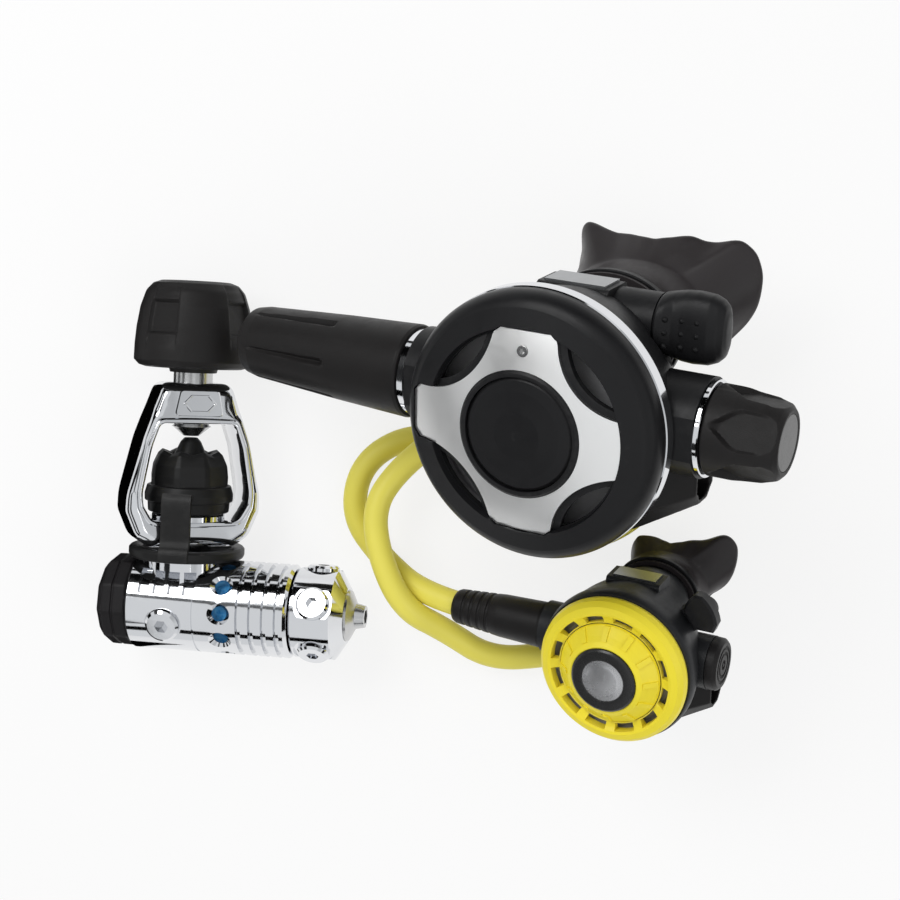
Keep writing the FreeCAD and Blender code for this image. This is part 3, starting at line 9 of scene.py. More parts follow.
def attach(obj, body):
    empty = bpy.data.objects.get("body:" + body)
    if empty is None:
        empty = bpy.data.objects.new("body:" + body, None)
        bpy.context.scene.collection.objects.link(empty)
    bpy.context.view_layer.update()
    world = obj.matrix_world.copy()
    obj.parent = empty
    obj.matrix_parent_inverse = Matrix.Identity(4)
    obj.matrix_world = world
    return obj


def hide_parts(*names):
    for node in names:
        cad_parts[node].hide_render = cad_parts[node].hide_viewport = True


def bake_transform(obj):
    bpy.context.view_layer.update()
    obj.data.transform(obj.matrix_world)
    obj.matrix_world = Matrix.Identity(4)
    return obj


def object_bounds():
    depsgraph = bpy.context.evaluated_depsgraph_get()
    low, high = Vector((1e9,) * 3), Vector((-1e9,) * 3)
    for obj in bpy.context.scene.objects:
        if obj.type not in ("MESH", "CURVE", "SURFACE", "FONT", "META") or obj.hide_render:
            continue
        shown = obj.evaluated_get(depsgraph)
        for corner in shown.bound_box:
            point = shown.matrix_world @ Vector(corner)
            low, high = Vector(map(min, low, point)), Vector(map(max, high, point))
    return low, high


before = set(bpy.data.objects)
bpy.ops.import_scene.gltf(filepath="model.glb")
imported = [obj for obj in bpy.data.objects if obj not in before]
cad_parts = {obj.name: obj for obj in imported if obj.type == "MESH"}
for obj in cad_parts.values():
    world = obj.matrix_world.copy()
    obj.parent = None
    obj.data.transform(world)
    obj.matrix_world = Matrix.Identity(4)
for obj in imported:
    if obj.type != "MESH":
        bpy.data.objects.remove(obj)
cad_low, cad_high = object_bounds()

# Camera: a 60 mm lens that looks down on the table from high above its front edge, where the photograph
# was taken.
mm = 0.001
camera_place = Vector((91.76, 44.86, 586.20)) * mm
camera_right = Vector((0.9888, 0.0, -0.149)).normalized()
camera_back = Vector((0.1487, 0.0607, 0.987)).normalized()
camera_up = camera_back.cross(camera_right)
lens = bpy.data.cameras.new("camera")
lens.sensor_width = 36.0
lens.lens = 60.0
lens.clip_start = 0.01
lens.clip_end = 20.0
camera = bpy.data.objects.new("camera", lens)
bpy.context.scene.collection.objects.link(camera)
camera.rotation_mode = "QUATERNION"
camera.rotation_quaternion = Matrix((camera_right, camera_up, camera_back)).transposed().to_quaternion()
camera.location = camera_place
bpy.context.scene.camera = camera
bpy.context.scene.view_settings.view_transform = "Standard"

# Octopus hose: a braided low-pressure hose in a smooth yellow rubber cover, 9.6 mm thick, crimped into
# its steel fitting at the far end. From the octopus it makes one loose loop on the table and is wound up
# under the second stages, then comes back over itself. It lies by its own weight.
table_shift = Vector((-98.7, -51.1, 0.0))
hose_r = 4.8
hose_rest = 4.85
coil_centre = (153.3, 61.9)
coil_r = 32.6
coil_start = -123.5
coil_step = 10.05
coil_eighths = 22


def item_axes(yaw, pitch, roll, origin):
    """An item's own millimetres, along its own axes, turned into the frame's metres."""
    turn = Matrix.Rotation(math.radians(yaw), 4, "Z") @ Matrix.Rotation(math.radians(pitch), 4, "Y")
    turn = turn @ Matrix.Rotation(math.radians(roll), 4, "X")
    return Matrix.Scale(mm, 4) @ Matrix.Translation(Vector(origin) + table_shift) @ turn


octopus_axes = item_axes(-7.50, -19.09, 17.83, (169.66, -12.41, 63.67))


def on_table(x, y, rise):
    """A point of the hose's middle that lies rise millimetres above its rest on the table."""
    return (Vector((x, y, hose_rest + rise)) + table_shift) * mm


hose_exit = octopus_axes @ Vector((-56.0, 0.0, -19.7))
hose_route = [hose_exit, octopus_axes @ Vector((-85.5, 0.0, -19.7))]
for x, y in ((75.5, 17.0), (63.3, 33.9), (67.3, 54.6), (86.0, 66.1), (106.0, 63.3), (119.2, 52.1)):
    hose_route.append(on_table(x, y, 0.0))
for turn in range(coil_eighths):
    layer, eighth = divmod(turn, 8)
    rise = layer * coil_step
    # each turn but the last climbs on the one under it in its last two eighths
    if layer < 2 and eighth == 6:
        rise += 0.24 * coil_step
    if layer < 2 and eighth == 7:
        rise += coil_step + 0.15
    angle = math.radians(coil_start + 45.0 * turn)
    reach = coil_r / math.cos(math.radians(22.5))
    hose_route.append(on_table(coil_centre[0] + reach * math.cos(angle),
                               coil_centre[1] + reach * math.sin(angle), rise))
for x, y, rise in ((123.9, 81.4, 24.0), (104.0, 68.0, 19.0), (85.0, 53.8, 11.3), (75.0, 39.2, 13.7),
                   (77.5, 20.4, 16.4), (87.2, 0.2, 18.5), (102.0, -9.6, 7.6), (118.4, -22.1, 0.0),
                   (141.7, -20.1, 0.2), (166.7, -13.1, 2.2), (195.6, -5.4, 4.83)):
    hose_route.append(on_table(x, y, rise))


def add(tree, kind, settings=None, **inputs):
    """A shader node; i0, i1 … name an input by its place, other words name it by its label."""
    node = tree.nodes.new("ShaderNode" + kind)
    for key, value in (settings or {}).items():
        setattr(node, key, value)
    for key, value in inputs.items():
        by_place = key[0] == "i" and key[1:].isdigit()
        socket = node.inputs[int(key[1:])] if by_place else node.inputs[key.replace("_", " ")]
        if isinstance(value, bpy.types.NodeSocket):
            tree.links.new(value, socket)
        else:
            socket.default_value = value
    return node


def shared_effect(name, inputs, outputs, build):
    """A shader node group with named inputs and outputs."""
    tree = bpy.data.node_groups.new(name, "ShaderNodeTree")
    for label, value in inputs.items():
        socket = tree.interface.new_socket(label, in_out="INPUT", socket_type="NodeSocketFloat")
        socket.default_value = value
    for label in outputs:
        tree.interface.new_socket(label, in_out="OUTPUT", socket_type="NodeSocketFloat")
    entry = tree.nodes.new("NodeGroupInput")
    leave = tree.nodes.new("NodeGroupOutput")
    build(tree, entry.outputs, leave.inputs)
    return tree


def build_grain(tree, given, made):
    # fine grain of the mould, cloudy colour and faint hand marks, in the frame's own metres
    place = add(tree, "TexCoord").outputs["Object"]
    per_metre = add(tree, "Math", {"operation": "DIVIDE"}, i0=1000.0, i1=given["Grain mm"]).outputs[0]
    fine = add(tree, "TexNoise", None, Vector=place, Scale=per_metre, Detail=2.0, Roughness=0.6)
    cells = add(tree, "TexVoronoi", {"feature": "SMOOTH_F1"}, Vector=place, Scale=per_metre)
    mixed = add(tree, "Math", {"operation": "MULTIPLY"}, i0=fine.outputs["Fac"],
                i1=cells.outputs["Distance"])
    cloud = add(tree, "TexNoise", None, Vector=place, Scale=55.0, Detail=4.0, Roughness=0.55)
    marks = add(tree, "TexNoise", None, Vector=place, Scale=210.0, Detail=5.0, Roughness=0.7,
                Distortion=0.6)
    tree.links.new(mixed.outputs[0], made["Height"])
    tree.links.new(cloud.outputs["Fac"], made["Cloud"])
    tree.links.new(marks.outputs["Fac"], made["Marks"])


def build_painted_sheen(tree, given, made):
    # painted highlight: a paler sheen colour laid on sharp edges, broken up by noise
    point = add(tree, "NewGeometry").outputs["Pointiness"]
    sharp = add(tree, "MapRange", None, Value=point, From_Min=given["Start"], From_Max=given["End"])
    place = add(tree, "TexCoord").outputs["Object"]
    patch = add(tree, "TexNoise", None, Vector=place, Scale=420.0, Detail=4.0, Roughness=0.65)
    patch = add(tree, "MapRange", None, Value=patch.outputs["Fac"], From_Min=0.38, From_Max=0.68)
    mask = add(tree, "Math", {"operation": "MULTIPLY"}, i0=sharp.outputs[0], i1=patch.outputs[0])
    tree.links.new(mask.outputs[0], made["Mask"])


mould_grain = shared_effect("mould_grain", {"Grain mm": 0.4}, ("Height", "Cloud", "Marks"), build_grain)
# painted highlight: the mask of sharp edges that take a paler painted sheen colour
painted_edge_sheen = shared_effect("painted_edge_sheen", {"Start": 0.54, "End": 0.64}, ("Mask",), build_painted_sheen)


def effect(tree, shared, **inputs):
    """A shared effect placed in a material with its own values."""
    node = tree.nodes.new("ShaderNodeGroup")
    node.node_tree = shared
    for key, value in inputs.items():
        node.inputs[key.replace("_", " ")].default_value = value
    return node


def between(tree, mask, first, second):
    """The first colour where the mask is 0, the second where it is 1."""
    node = add(tree, "Mix", {"data_type": "RGBA"}, i0=mask)
    for socket, value in ((node.inputs[6], first), (node.inputs[7], second)):
        if isinstance(value, bpy.types.NodeSocket):
            tree.links.new(value, socket)
        else:
            socket.default_value = (*value, 1.0)
    return node.outputs[2]


def new_surface(name):
    """A material with its node tree and its shader."""
    surface = bpy.data.materials.new(name)
    surface.use_nodes = True
    return surface, surface.node_tree, surface.node_tree.nodes["Principled BSDF"]


def moulded(name, colour, painted_sheen, rough, grain_mm=0.35, relief=0.12, cloud=0.8, gloss=0.18, spread=0.07):
    """Moulded rubber or plastic: cloudy colour, grain from the tool, and sharp edges painted paler as a
    painted sheen highlight.
    """
    surface, tree, shader = new_surface(name)
    skin_of = effect(tree, mould_grain, Grain_mm=grain_mm)
    # painted sheen highlight on sharp edges
    edge = effect(tree, painted_edge_sheen)
    base = between(tree, skin_of.outputs["Cloud"], tuple(part * cloud for part in colour), colour)
    # sharp edges take the paler painted sheen colour, a painted highlight
    tree.links.new(between(tree, edge.outputs["Mask"], base, painted_sheen), shader.inputs["Base Color"])
    roughness = add(tree, "MapRange", None, Value=skin_of.outputs["Marks"], From_Min=0.3, From_Max=0.7,
                    To_Min=rough - spread, To_Max=rough + spread)
    tree.links.new(roughness.outputs[0], shader.inputs["Roughness"])
    bump = add(tree, "Bump", None, Strength=relief, Distance=0.0002, Height=skin_of.outputs["Height"])
    tree.links.new(bump.outputs[0], shader.inputs["Normal"])
    shader.inputs["Specular IOR Level"].default_value = gloss
    return surface


# the second colour of each moulded surface is its painted edge sheen, a painted highlight
hose_cover = moulded("yellow_hose_cover", (0.86, 0.77, 0.12), (0.9, 0.83, 0.3), 0.44, 0.45, 0.08, 0.94,
                     0.3)
curve = bpy.data.curves.new("octopus_hose", "CURVE")
curve.dimensions = "3D"
curve.bevel_depth = hose_r * mm
curve.bevel_resolution = 8
curve.resolution_u = 14
curve.use_fill_caps = True
spline = curve.splines.new("NURBS")
spline.points.add(len(hose_route) - 1)
for point, place in zip(spline.points, hose_route):
    point.co = (*place, 1.0)
spline.order_u = 3
spline.use_endpoint_u = True
hose = bpy.data.objects.new("octopus_hose", curve)
bpy.context.scene.collection.objects.link(hose)
curve.materials.append(hose_cover)
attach(hose, "set")
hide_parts("lp_hose")

# First-stage body, turret and plugs: brass turned on a lathe, ported, then polished and plated with
# chrome. The turret swivels on the body's stem, and hexagon-socket plugs close the ports that have no
# hose.
first_axes = item_axes(-2.9, 0.0, 0.5, (0.0, 0.0, 22.23))


def metal(name, colour, rough, spread=0.04, shade=0.94, relief=0.02, lines=0.0):
    """Plated, polished or turned metal: a faint unevenness of the polish and of the plating's tone."""
    surface, tree, shader = new_surface(name)
    shader.inputs["Metallic"].default_value = 1.0
    skin_of = effect(tree, mould_grain, Grain_mm=1.6)
    base = between(tree, skin_of.outputs["Cloud"], tuple(part * shade for part in colour), colour)
    tree.links.new(base, shader.inputs["Base Color"])
    roughness = add(tree, "MapRange", None, Value=skin_of.outputs["Marks"], From_Min=0.35, From_Max=0.75,
                    To_Min=rough, To_Max=rough + spread)
    tree.links.new(roughness.outputs[0], shader.inputs["Roughness"])
    height = skin_of.outputs["Cloud"]
    if lines:
        place = add(tree, "TexCoord").outputs["Object"]
        drawn = add(tree, "Mapping", None, Vector=place, Scale=(260.0, 2600.0, 260.0))
        hair = add(tree, "TexNoise", None, Vector=drawn.outputs[0], Scale=1.0, Detail=3.0, Roughness=0.7)
        height = add(tree, "Math", {"operation": "MULTIPLY_ADD"}, i0=hair.outputs["Fac"], i1=lines,
                     i2=height).outputs[0]
    bump = add(tree, "Bump", None, Strength=relief, Distance=0.0002, Height=height)
    tree.links.new(bump.outputs[0], shader.inputs["Normal"])
    return surface


chrome = metal("polished_chrome", (0.78, 0.79, 0.81), 0.06)
stainless = metal("turned_stainless", (0.60, 0.60, 0.60), 0.2, 0.08)
plated_brass = metal("plated_brass", (0.72, 0.66, 0.52), 0.18, 0.08)
spring_wire = metal("spring_wire", (0.46, 0.46, 0.47), 0.24, 0.1)
blue_insert = moulded("blue_sleeve", (0.01, 0.19, 0.5), (0.1, 0.35, 0.6), 0.35, 0.3, 0.05)


def finish(surface, *names):
    """The surface laid on pieces that show as they were built."""
    for name in names:
        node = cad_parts[name]
        node.data.materials.clear()
        node.data.materials.append(surface)


finish(chrome, "fs_body", "fs_turret", "fs_lp_plugs", "fs_gauge_plugs", "fs_yoke_nut", "hose_fitting")
finish(stainless, "fs_turret_bolt", "fs_piston", "fs_filter_clip")
finish(plated_brass, "fs_seat_adjuster", "fs_inlet_filter")
finish(spring_wire, "fs_main_spring")
finish(blue_insert, "fs_spring_sleeve")

# Inlet seat: a small disc of white engineering plastic that the piston closes on, pressed into its
# holder. It is turned with a slight crown, and nothing else holds it.


def ease(value, low, high):
    """0 below low, 1 above high, and a smooth rise between them."""
    share = np.clip((value - low) / (high - low), 0.0, 1.0)
    return share * share * (3.0 - 2.0 * share)


def rounded(corners, steps=4):
    """A profile through (along, radius, bend) corners, each bend in millimetres rounded off."""
    line = []
    for i, (along, radius, bend) in enumerate(corners):
        here = np.array((along, radius), float)
        if i in (0, len(corners) - 1) or bend == 0:
            line.append(here)
            continue
        back = np.array(corners[i - 1][:2]) - here
        ahead = np.array(corners[i + 1][:2]) - here
        back_length = np.linalg.norm(back)
        ahead_length = np.linalg.norm(ahead)
        turn = math.acos(max(-1.0, min(1.0, float(back @ ahead) / (back_length * ahead_length))))
        reach = min(bend / math.tan(turn / 2), 0.48 * back_length, 0.48 * ahead_length)
        start = here + back / back_length * reach
        stop = here + ahead / ahead_length * reach
        for share in np.linspace(0.0, 1.0, steps + 1):
            line.append((1 - share) ** 2 * start + 2 * share * (1 - share) * here + share ** 2 * stop)
    return line


def fine(line, step):
    """The same profile with no run longer than step."""
    out = [line[0]]
    for start, stop in zip(line, line[1:]):
        parts = max(1, int(math.ceil(np.linalg.norm(stop - start) / step)))
        out += [start + (stop - start) * k / parts for k in range(1, parts + 1)]
    return out


def turned(line, axis, count=96, form=None, centre=(0.0, 0.0)):
    """Rings for a turned form. A form may move (along, radius) with the angle, which starts at z, or at x for
    the z axis, and goes towards y, x or y."""
    turn = np.arange(count) * (2 * math.pi / count)
    rings = []
    for along, radius in line:
        if radius < 1e-6:
            along = np.array([along])
            angle = np.zeros(1)
            radius = np.zeros(1)
        else:
            angle = turn
            along = np.full(count, float(along))
            radius = np.full(count, float(radius))
        if form:
            along, radius = form(along, angle, radius)
        across = radius * np.sin(angle)
        out = radius * np.cos(angle)
        if axis == "x":
            ring = np.stack((along, centre[0] + across, centre[1] + out), 1)
        elif axis == "y":
            ring = np.stack((centre[0] + across, along, centre[1] + out), 1)
        else:
            ring = np.stack((centre[0] + out, centre[1] + across, along), 1)
        rings.append(ring)
    return rings


def skin(name, parts, axes, sharp=32.0):
    """One mesh from rings of points. Each part is (rings, closed); open parts are capped at both ends."""
    points = []
    faces = []
    for rings, closed in parts:
        starts = []
        for ring in rings:
            starts.append(len(points))
            points += [axes @ Vector(point) for point in ring]
        pairs = list(zip(range(len(rings)), range(1, len(rings))))
        if closed:
            pairs.append((len(rings) - 1, 0))
        for a, b in pairs:
            size_a = len(rings[a])
            size_b = len(rings[b])
            count = max(size_a, size_b)
            for k in range(count):
                n = (k + 1) % count
                if size_a == 1:
                    faces.append((starts[a], starts[b] + n, starts[b] + k))
                elif size_b == 1:
                    faces.append((starts[a] + k, starts[a] + n, starts[b]))
                else:
                    faces.append((starts[a] + k, starts[a] + n, starts[b] + n, starts[b] + k))
        if not closed:
            for end in (0, len(rings) - 1):
                if len(rings[end]) > 1:
                    faces.append(tuple(starts[end] + k for k in range(len(rings[end]))))
    mesh = bpy.data.meshes.new(name)
    mesh.from_pydata(points, [], faces)
    work = bmesh.new()
    work.from_mesh(mesh)
    bmesh.ops.recalc_face_normals(work, faces=work.faces)
    work.to_mesh(mesh)
    work.free()
    mesh.shade_smooth()
    mesh.set_sharp_from_angle(angle=math.radians(sharp))
    return mesh


def piece(name, mesh, surface, body, slot, *nodes):
    """An object of the set that rides on its body and takes the place of the named solids."""
    item = bpy.data.objects.new(name, mesh)
    bpy.context.scene.collection.objects.link(item)
    mesh.materials.append(surface)
    if body:
        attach(item, body)
    if nodes:
        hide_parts(*nodes)
    return item


def shape(name, parts, axes, surface, body, slot, node, sharp=32.0):
    """A piece that is one skin and takes the place of one solid."""
    return piece(name, skin(name, parts, axes, sharp), surface, body, slot, node)


seal_white = moulded("seal_white", (0.62, 0.62, 0.60), (0.7, 0.7, 0.7), 0.5, 0.4, 0.05)
seat_disc = rounded(((-12.4, 0.0, 0), (-12.4, 3.35, 0.3), (-10.15, 3.35, 0.5), (-10.02, 0.0, 0)))
shape("inlet_seat", [(turned(seat_disc, "x", 48), False)], first_axes, seal_white, "set",
      "clear_silicone", "fs_inlet_seat")

# End boot: a ten-sided cap of black rubber, stretched over the seat adjuster and held by its own grip.
boot_left, boot_right = -31.0, -18.95
boot_corner = 0.992


def ten_sides(along, angle, radius):
    half = math.radians(18.0)
    side = np.abs((angle - math.radians(9.0)) % (2 * half) - half)
    flat = math.cos(half) / np.cos(half - side)
    return along, radius * np.minimum(flat, boot_corner)


boot_line = rounded((
    (boot_left, 0.0, 0), (boot_left, 14.2, 0.8), (boot_left + 1.0, 15.6, 0.9),
    (boot_left + 2.9, 17.9, 1.2), (-24.6, 18.0, 0), (-24.3, 17.5, 0.2), (-23.7, 17.5, 0.2),
    (-23.4, 18.0, 0), (boot_right - 0.5, 18.0, 0.4), (boot_right, 17.5, 0), (boot_right, 13.2, 0),
    (-28.6, 13.2, 0), (-28.6, 0.0, 0)))
boot_rubber = moulded("boot_rubber", (0.011, 0.010, 0.011), (0.035, 0.034, 0.033), 0.46, 0.3, 0.2, 0.75,
                      0.2)
boot_rings = turned(fine(boot_line, 2.0), "x", 240, ten_sides)
shape("end_boot", [(boot_rings, False)], first_axes, boot_rubber, "set", "black_rubber", "fs_end_boot")

# Yoke: a forged A-frame, polished and chromed, that is clamped round the cylinder valve. The threaded
# screw in its top bar presses the valve against the inlet seat in its window.
finish(stainless, "fs_yoke_screw")
yoke_axes = first_axes @ Matrix.Rotation(math.radians(32.0), 4, "Y")
yoke_middle = 52.0
yoke_steps = 360
yoke_turns = np.arange(yoke_steps) * (2 * math.pi / yoke_steps)


def yoke_reach(half_outline):
    """Distance of a mirrored outline from the middle of the window, by angle from straight up."""
    line = np.array(fine(rounded(half_outline, 8), 0.4))
    angle = np.arctan2(np.abs(line[:, 0]), line[:, 1] - yoke_middle)
    reach = np.hypot(line[:, 0], line[:, 1] - yoke_middle)
    return np.interp(np.minimum(yoke_turns, 2 * math.pi - yoke_turns), angle, reach)


yoke_outer = yoke_reach((
    (0.0, 87.0, 0), (13.6, 87.0, 5), (20.9, 66.0, 40), (26.4, 44.0, 25), (26.6, 37.0, 7),
    (22.4, 27.0, 8), (16.5, 23.2, 5), (0.0, 23.2, 0)))
yoke_window = yoke_reach((
    (0.0, 71.5, 0), (14.3, 71.5, 3), (17.6, 62.0, 20), (20.6, 45.0, 12), (20.2, 40.0, 5),
    (16.5, 33.6, 5), (0.0, 33.6, 0)))
width = yoke_outer - yoke_window
edge_run = np.minimum(4.8, width - 2.6)
front = [(edge_run * share, depth) for share, depth in
         ((0.0, 0.0), (0.0, 5.2), (0.04, 6.9), (0.16, 8.6), (0.36, 10.0), (0.64, 10.95), (1.0, 11.3))]
front += [(width - back, depth) for back, depth in
          ((2.3, 11.3), (2.0, 11.9), (1.6, 12.15), (0.8, 12.15), (0.3, 11.9), (0.0, 11.3))]
section = front + [(into, -depth) for into, depth in reversed(front[1:])]
yoke_rings = []
for into, depth in section:
    reach = yoke_outer - into
    yoke_rings.append(np.stack((reach * np.sin(yoke_turns), yoke_middle + reach * np.cos(yoke_turns),
                                np.full(yoke_steps, depth)), 1))


def raised(corners, bend, levels):
    """Rings of a flat outline in x, y that shrinks about its middle from level to level."""
    corners = [(*corner, bend) for corner in corners]
    loop = rounded([corners[-1]] + corners + [corners[0]], 6)[1:-1]
    middle = sum(loop) / len(loop)
    return [[(*(middle + (point - middle) * size), z) for point in loop] for size, z in levels]


panel = ((-9.6, 74.4), (-7.6, 84.3), (7.6, 84.3), (9.6, 74.4))
hexagon = ((-6.6, 79.3), (-3.5, 76.0), (3.5, 76.0), (6.6, 79.3), (3.5, 82.6), (-3.5, 82.6))
panel_parts = []
for side in (1, -1):
    panel_levels = ((1.0, 10.8 * side), (1.0, 11.9 * side), (0.95, 12.3 * side))
    panel_parts.append((raised(panel, 1.6, panel_levels), False))
hex_levels = ((1.0, 12.2), (1.0, 12.6), (0.96, 12.8), (0.88, 12.8), (0.84, 12.6), (0.84, 12.2))
panel_parts.append((raised(hexagon, 0.6, hex_levels), True))


def bored(mesh, name, *bores):
    """The mesh with (radius, from, to) bores along the y axis of the first stage."""
    block = bpy.data.objects.new(name, mesh)
    tools = []
    bpy.context.scene.collection.objects.link(block)
    for radius, start, stop in bores:
        line = [(start, 0.0), (start, radius), (stop, radius), (stop, 0.0)]
        drill = skin(name + "_tool", [(turned(line, "y", 96), False)], yoke_axes)
        tool = bpy.data.objects.new(name + "_tool", drill)
        bpy.context.scene.collection.objects.link(tool)
        tools.append(tool)
        cut = block.modifiers.new("bore", "BOOLEAN")
        cut.object = tool
        cut.solver = "EXACT"
    bpy.context.view_layer.update()
    made = bpy.data.meshes.new_from_object(block.evaluated_get(bpy.context.evaluated_depsgraph_get()))
    for item in tools + [block]:
        bpy.data.objects.remove(item)
    made.name = name
    made.set_sharp_from_angle(angle=math.radians(28.0))
    return made


def joined(first, *others):
    """One mesh from several."""
    work = bmesh.new()
    for mesh in (first, *others):
        work.from_mesh(mesh)
    work.to_mesh(first)
    work.free()
    first.shade_smooth()
    first.set_sharp_from_angle(angle=math.radians(30.0))
    return first


yoke_mesh = bored(skin("yoke", [(yoke_rings, True)], yoke_axes, 28.0), "yoke", (7.66, 70.0, 88.5),
                  (10.22, 22.0, 34.5))
yoke_mesh = joined(yoke_mesh, skin("yoke_panel", panel_parts, yoke_axes))
piece("yoke", yoke_mesh, chrome, "set", "chrome", "fs_yoke")

# Yoke knob: black rubber moulded over a metal hub, with four sunk grip pads and a plain glossy badge
# pressed in its top. It turns on the screw.
knob_low, knob_high = 92.4, 126.0
pad_middle, pad_half = -17.0, 17.5
pad_top, pad_step, pad_foot = 118.2, 105.8, 99.6
pad_depth = 2.6


def knob_pads(along, angle, radius):
    """Four flats sunk in the knob's side, deep above a step and shallow below it."""
    aside = (np.degrees(angle) - pad_middle + 45.0) % 90.0 - 45.0
    inside = 1.0 - ease(np.abs(aside), pad_half - 0.9, pad_half + 0.9)
    flat = np.minimum(radius, (radius - pad_depth) / np.cos(np.radians(np.clip(aside, -30, 30))))
    deep = (1.0 - ease(along, pad_top - 1.3, pad_top + 1.0)) * ease(along, pad_step - 0.4, pad_step + 0.4)
    below = 1.0 - ease(along, pad_step - 0.4, pad_step + 0.4)
    shallow = below * ease(along, pad_foot - 1.0, pad_step + 1.0)
    shoulder = ease(along, pad_top - 0.5, pad_top + 1.5) * (1.0 - ease(along, 122.5, 125.0))
    share = inside * np.clip(deep + 0.5 * shallow + 0.32 * shoulder, 0.0, 1.0)
    side = np.where(radius > 15.0, share, 0.0)
    return along, radius + (flat - radius) * side


knob_line = rounded((
    (knob_low - 1.6, 0.0, 0), (knob_low - 1.6, 9.0, 0.3), (knob_low + 0.2, 9.5, 0.3),
    (knob_low + 0.2, 18.6, 0.5), (knob_low + 0.9, 21.0, 0.8), (knob_low + 2.9, 22.9, 1.0),
    (101.5, 22.75, 6), (108.0, 22.2, 6), (115.8, 20.95, 6), (122.0, 18.9, 5), (124.9, 16.3, 2),
    (knob_high, 13.2, 0.7), (knob_high - 0.2, 11.95, 0.4), (knob_high - 3.2, 11.8, 0),
    (knob_high - 3.2, 0.0, 0)), 6)
grip_rubber = moulded("grip_rubber", (0.014, 0.013, 0.013), (0.035, 0.033, 0.032), 0.48, 0.3, 0.26, 0.75,
                      0.2)
knob_rings = turned(fine(knob_line, 0.55), "y", 360, knob_pads)
shape("yoke_knob", [(knob_rings, False)], first_axes, grip_rubber, "yoke_knob", "black_rubber",
      "fs_yoke_knob")
badge_line = rounded((
    (122.85, 0.0, 0), (122.85, 11.55, 0), (124.0, 11.55, 0.3), (124.4, 11.0, 0.3), (124.4, 8.9, 0.2),
    (123.9, 8.6, 0.2), (123.9, 0.0, 0)))
gloss_black = moulded("gloss_black", (0.008, 0.008, 0.008), (0.02, 0.02, 0.02), 0.2, 0.8, 0.02, 0.85,
                      0.35, 0.05)
shape("knob_badge", [(turned(badge_line, "y", 96), False)], first_axes, gloss_black, "yoke_knob",
      "black_gloss", "fs_knob_badge")

# Dust cap: a soft black rubber plug that the yoke screw presses on the inlet, with eight flats and a cone
# on top for the screw's tip.
cap_low, cap_high = 36.6, 65.4


def cap_flats(along, angle, radius):
    """Eight flats on the dome, and a rim that dips between them."""
    aside = np.degrees(angle) % 45.0 - 22.5
    dome = ease(along, 46.9, 47.6) * np.where(radius > 9.5, 1.0, 0.0)
    flat = np.minimum(radius, (radius - 0.75) / np.cos(np.radians(aside)))
    scallop = ease(along, 56.5, 61.0) * np.where(radius > 6.6, 1.0, 0.0) * (1.0 - np.abs(aside) / 22.5)
    return along - 1.3 * scallop, radius + (flat - radius) * dome


cap_line = rounded((
    (cap_low, 0.0, 0), (cap_low, 15.6, 0.5), (cap_low + 4.0, 15.9, 0), (cap_low + 4.3, 17.0, 0.5),
    (cap_low + 7.0, 17.1, 1.0), (46.8, 16.2, 0.6), (47.1, 15.2, 0.2), (50.5, 15.3, 3), (54.8, 14.8, 3),
    (59.2, 12.9, 1.2), (60.6, 11.4, 0.5), (60.2, 10.2, 0.4), (58.4, 8.6, 0.5), (58.2, 6.6, 0.5),
    (60.0, 5.7, 0.6), (63.9, 3.9, 1.2), (cap_high, 2.5, 0.8), (cap_high, 0.0, 0)), 5)
cap_rubber = moulded("cap_rubber", (0.011, 0.011, 0.011), (0.035, 0.034, 0.033), 0.42, 0.35, 0.14, 0.75,
                     0.22)
cap_rings = turned(fine(cap_line, 0.8), "y", 288, cap_flats)
shape("dust_cap", [(cap_rings, False)], first_axes, cap_rubber, "dust_cap", "black_rubber", "fs_dust_cap")

# Cap strap: one rubber moulding, a collar round the inlet boss and a flat strap with a raised line along
# each edge, which bends up over the yoke's lower bar to the cap.
strap_axes = first_axes @ Matrix.Rotation(math.radians(4.0), 4, "Y")
collar_line = rounded((
    (18.7, 17.1, 0.3), (18.7, 21.8, 0.8), (20.0, 22.4, 0.8), (22.2, 22.4, 0.7), (23.05, 21.6, 0.4),
    (23.05, 18.4, 0.5), (22.7, 17.1, 0.3), (18.9, 17.05, 0)))
strap_way = (
    (44.6, 17.5), (42.4, 18.5), (39.5, 18.9), (35.5, 18.9), (31.0, 18.85), (27.0, 19.0), (24.6, 19.9),
    (23.0, 20.9), (21.4, 21.3), (19.6, 21.2))
strap_section = (
    (-5.6, -1.0), (-5.75, 0.2), (-5.6, 1.1), (-5.1, 1.3), (-4.6, 1.0), (-4.3, 0.75), (0.0, 0.8),
    (4.3, 0.75), (4.6, 1.0), (5.1, 1.3), (5.6, 1.1), (5.75, 0.2), (5.6, -1.0), (0.0, -1.05))


def swept(way, section):
    """Rings of a section carried along a way in the y, z plane, with the width along x."""
    way = np.array(way)
    dense = []
    for i in range(len(way) - 1):
        before = way[max(i - 1, 0)]
        after = way[min(i + 2, len(way) - 1)]
        for share in np.linspace(0.0, 1.0, 6, endpoint=False):
            a = 2 * way[i]
            b = (way[i + 1] - before) * share
            c = (2 * before - 5 * way[i] + 4 * way[i + 1] - after) * share ** 2
            d = (3 * way[i] - before - 3 * way[i + 1] + after) * share ** 3
            dense.append((a + b + c + d) / 2)
    dense.append(way[-1])
    rings = []
    for i, here in enumerate(dense):
        along = dense[min(i + 1, len(dense) - 1)] - dense[max(i - 1, 0)]
        along = along / np.linalg.norm(along)
        out = np.array((along[1], -along[0]))
        rings.append([(x, here[0] - out[0] * rise, here[1] - out[1] * rise) for x, rise in section])
    return rings


strap_parts = [(turned(collar_line, "y", 160), True), (swept(strap_way, strap_section), False)]
strap = shape("cap_strap", strap_parts, strap_axes, cap_rubber, None, "black_rubber", "fs_cap_strap")
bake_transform(strap)

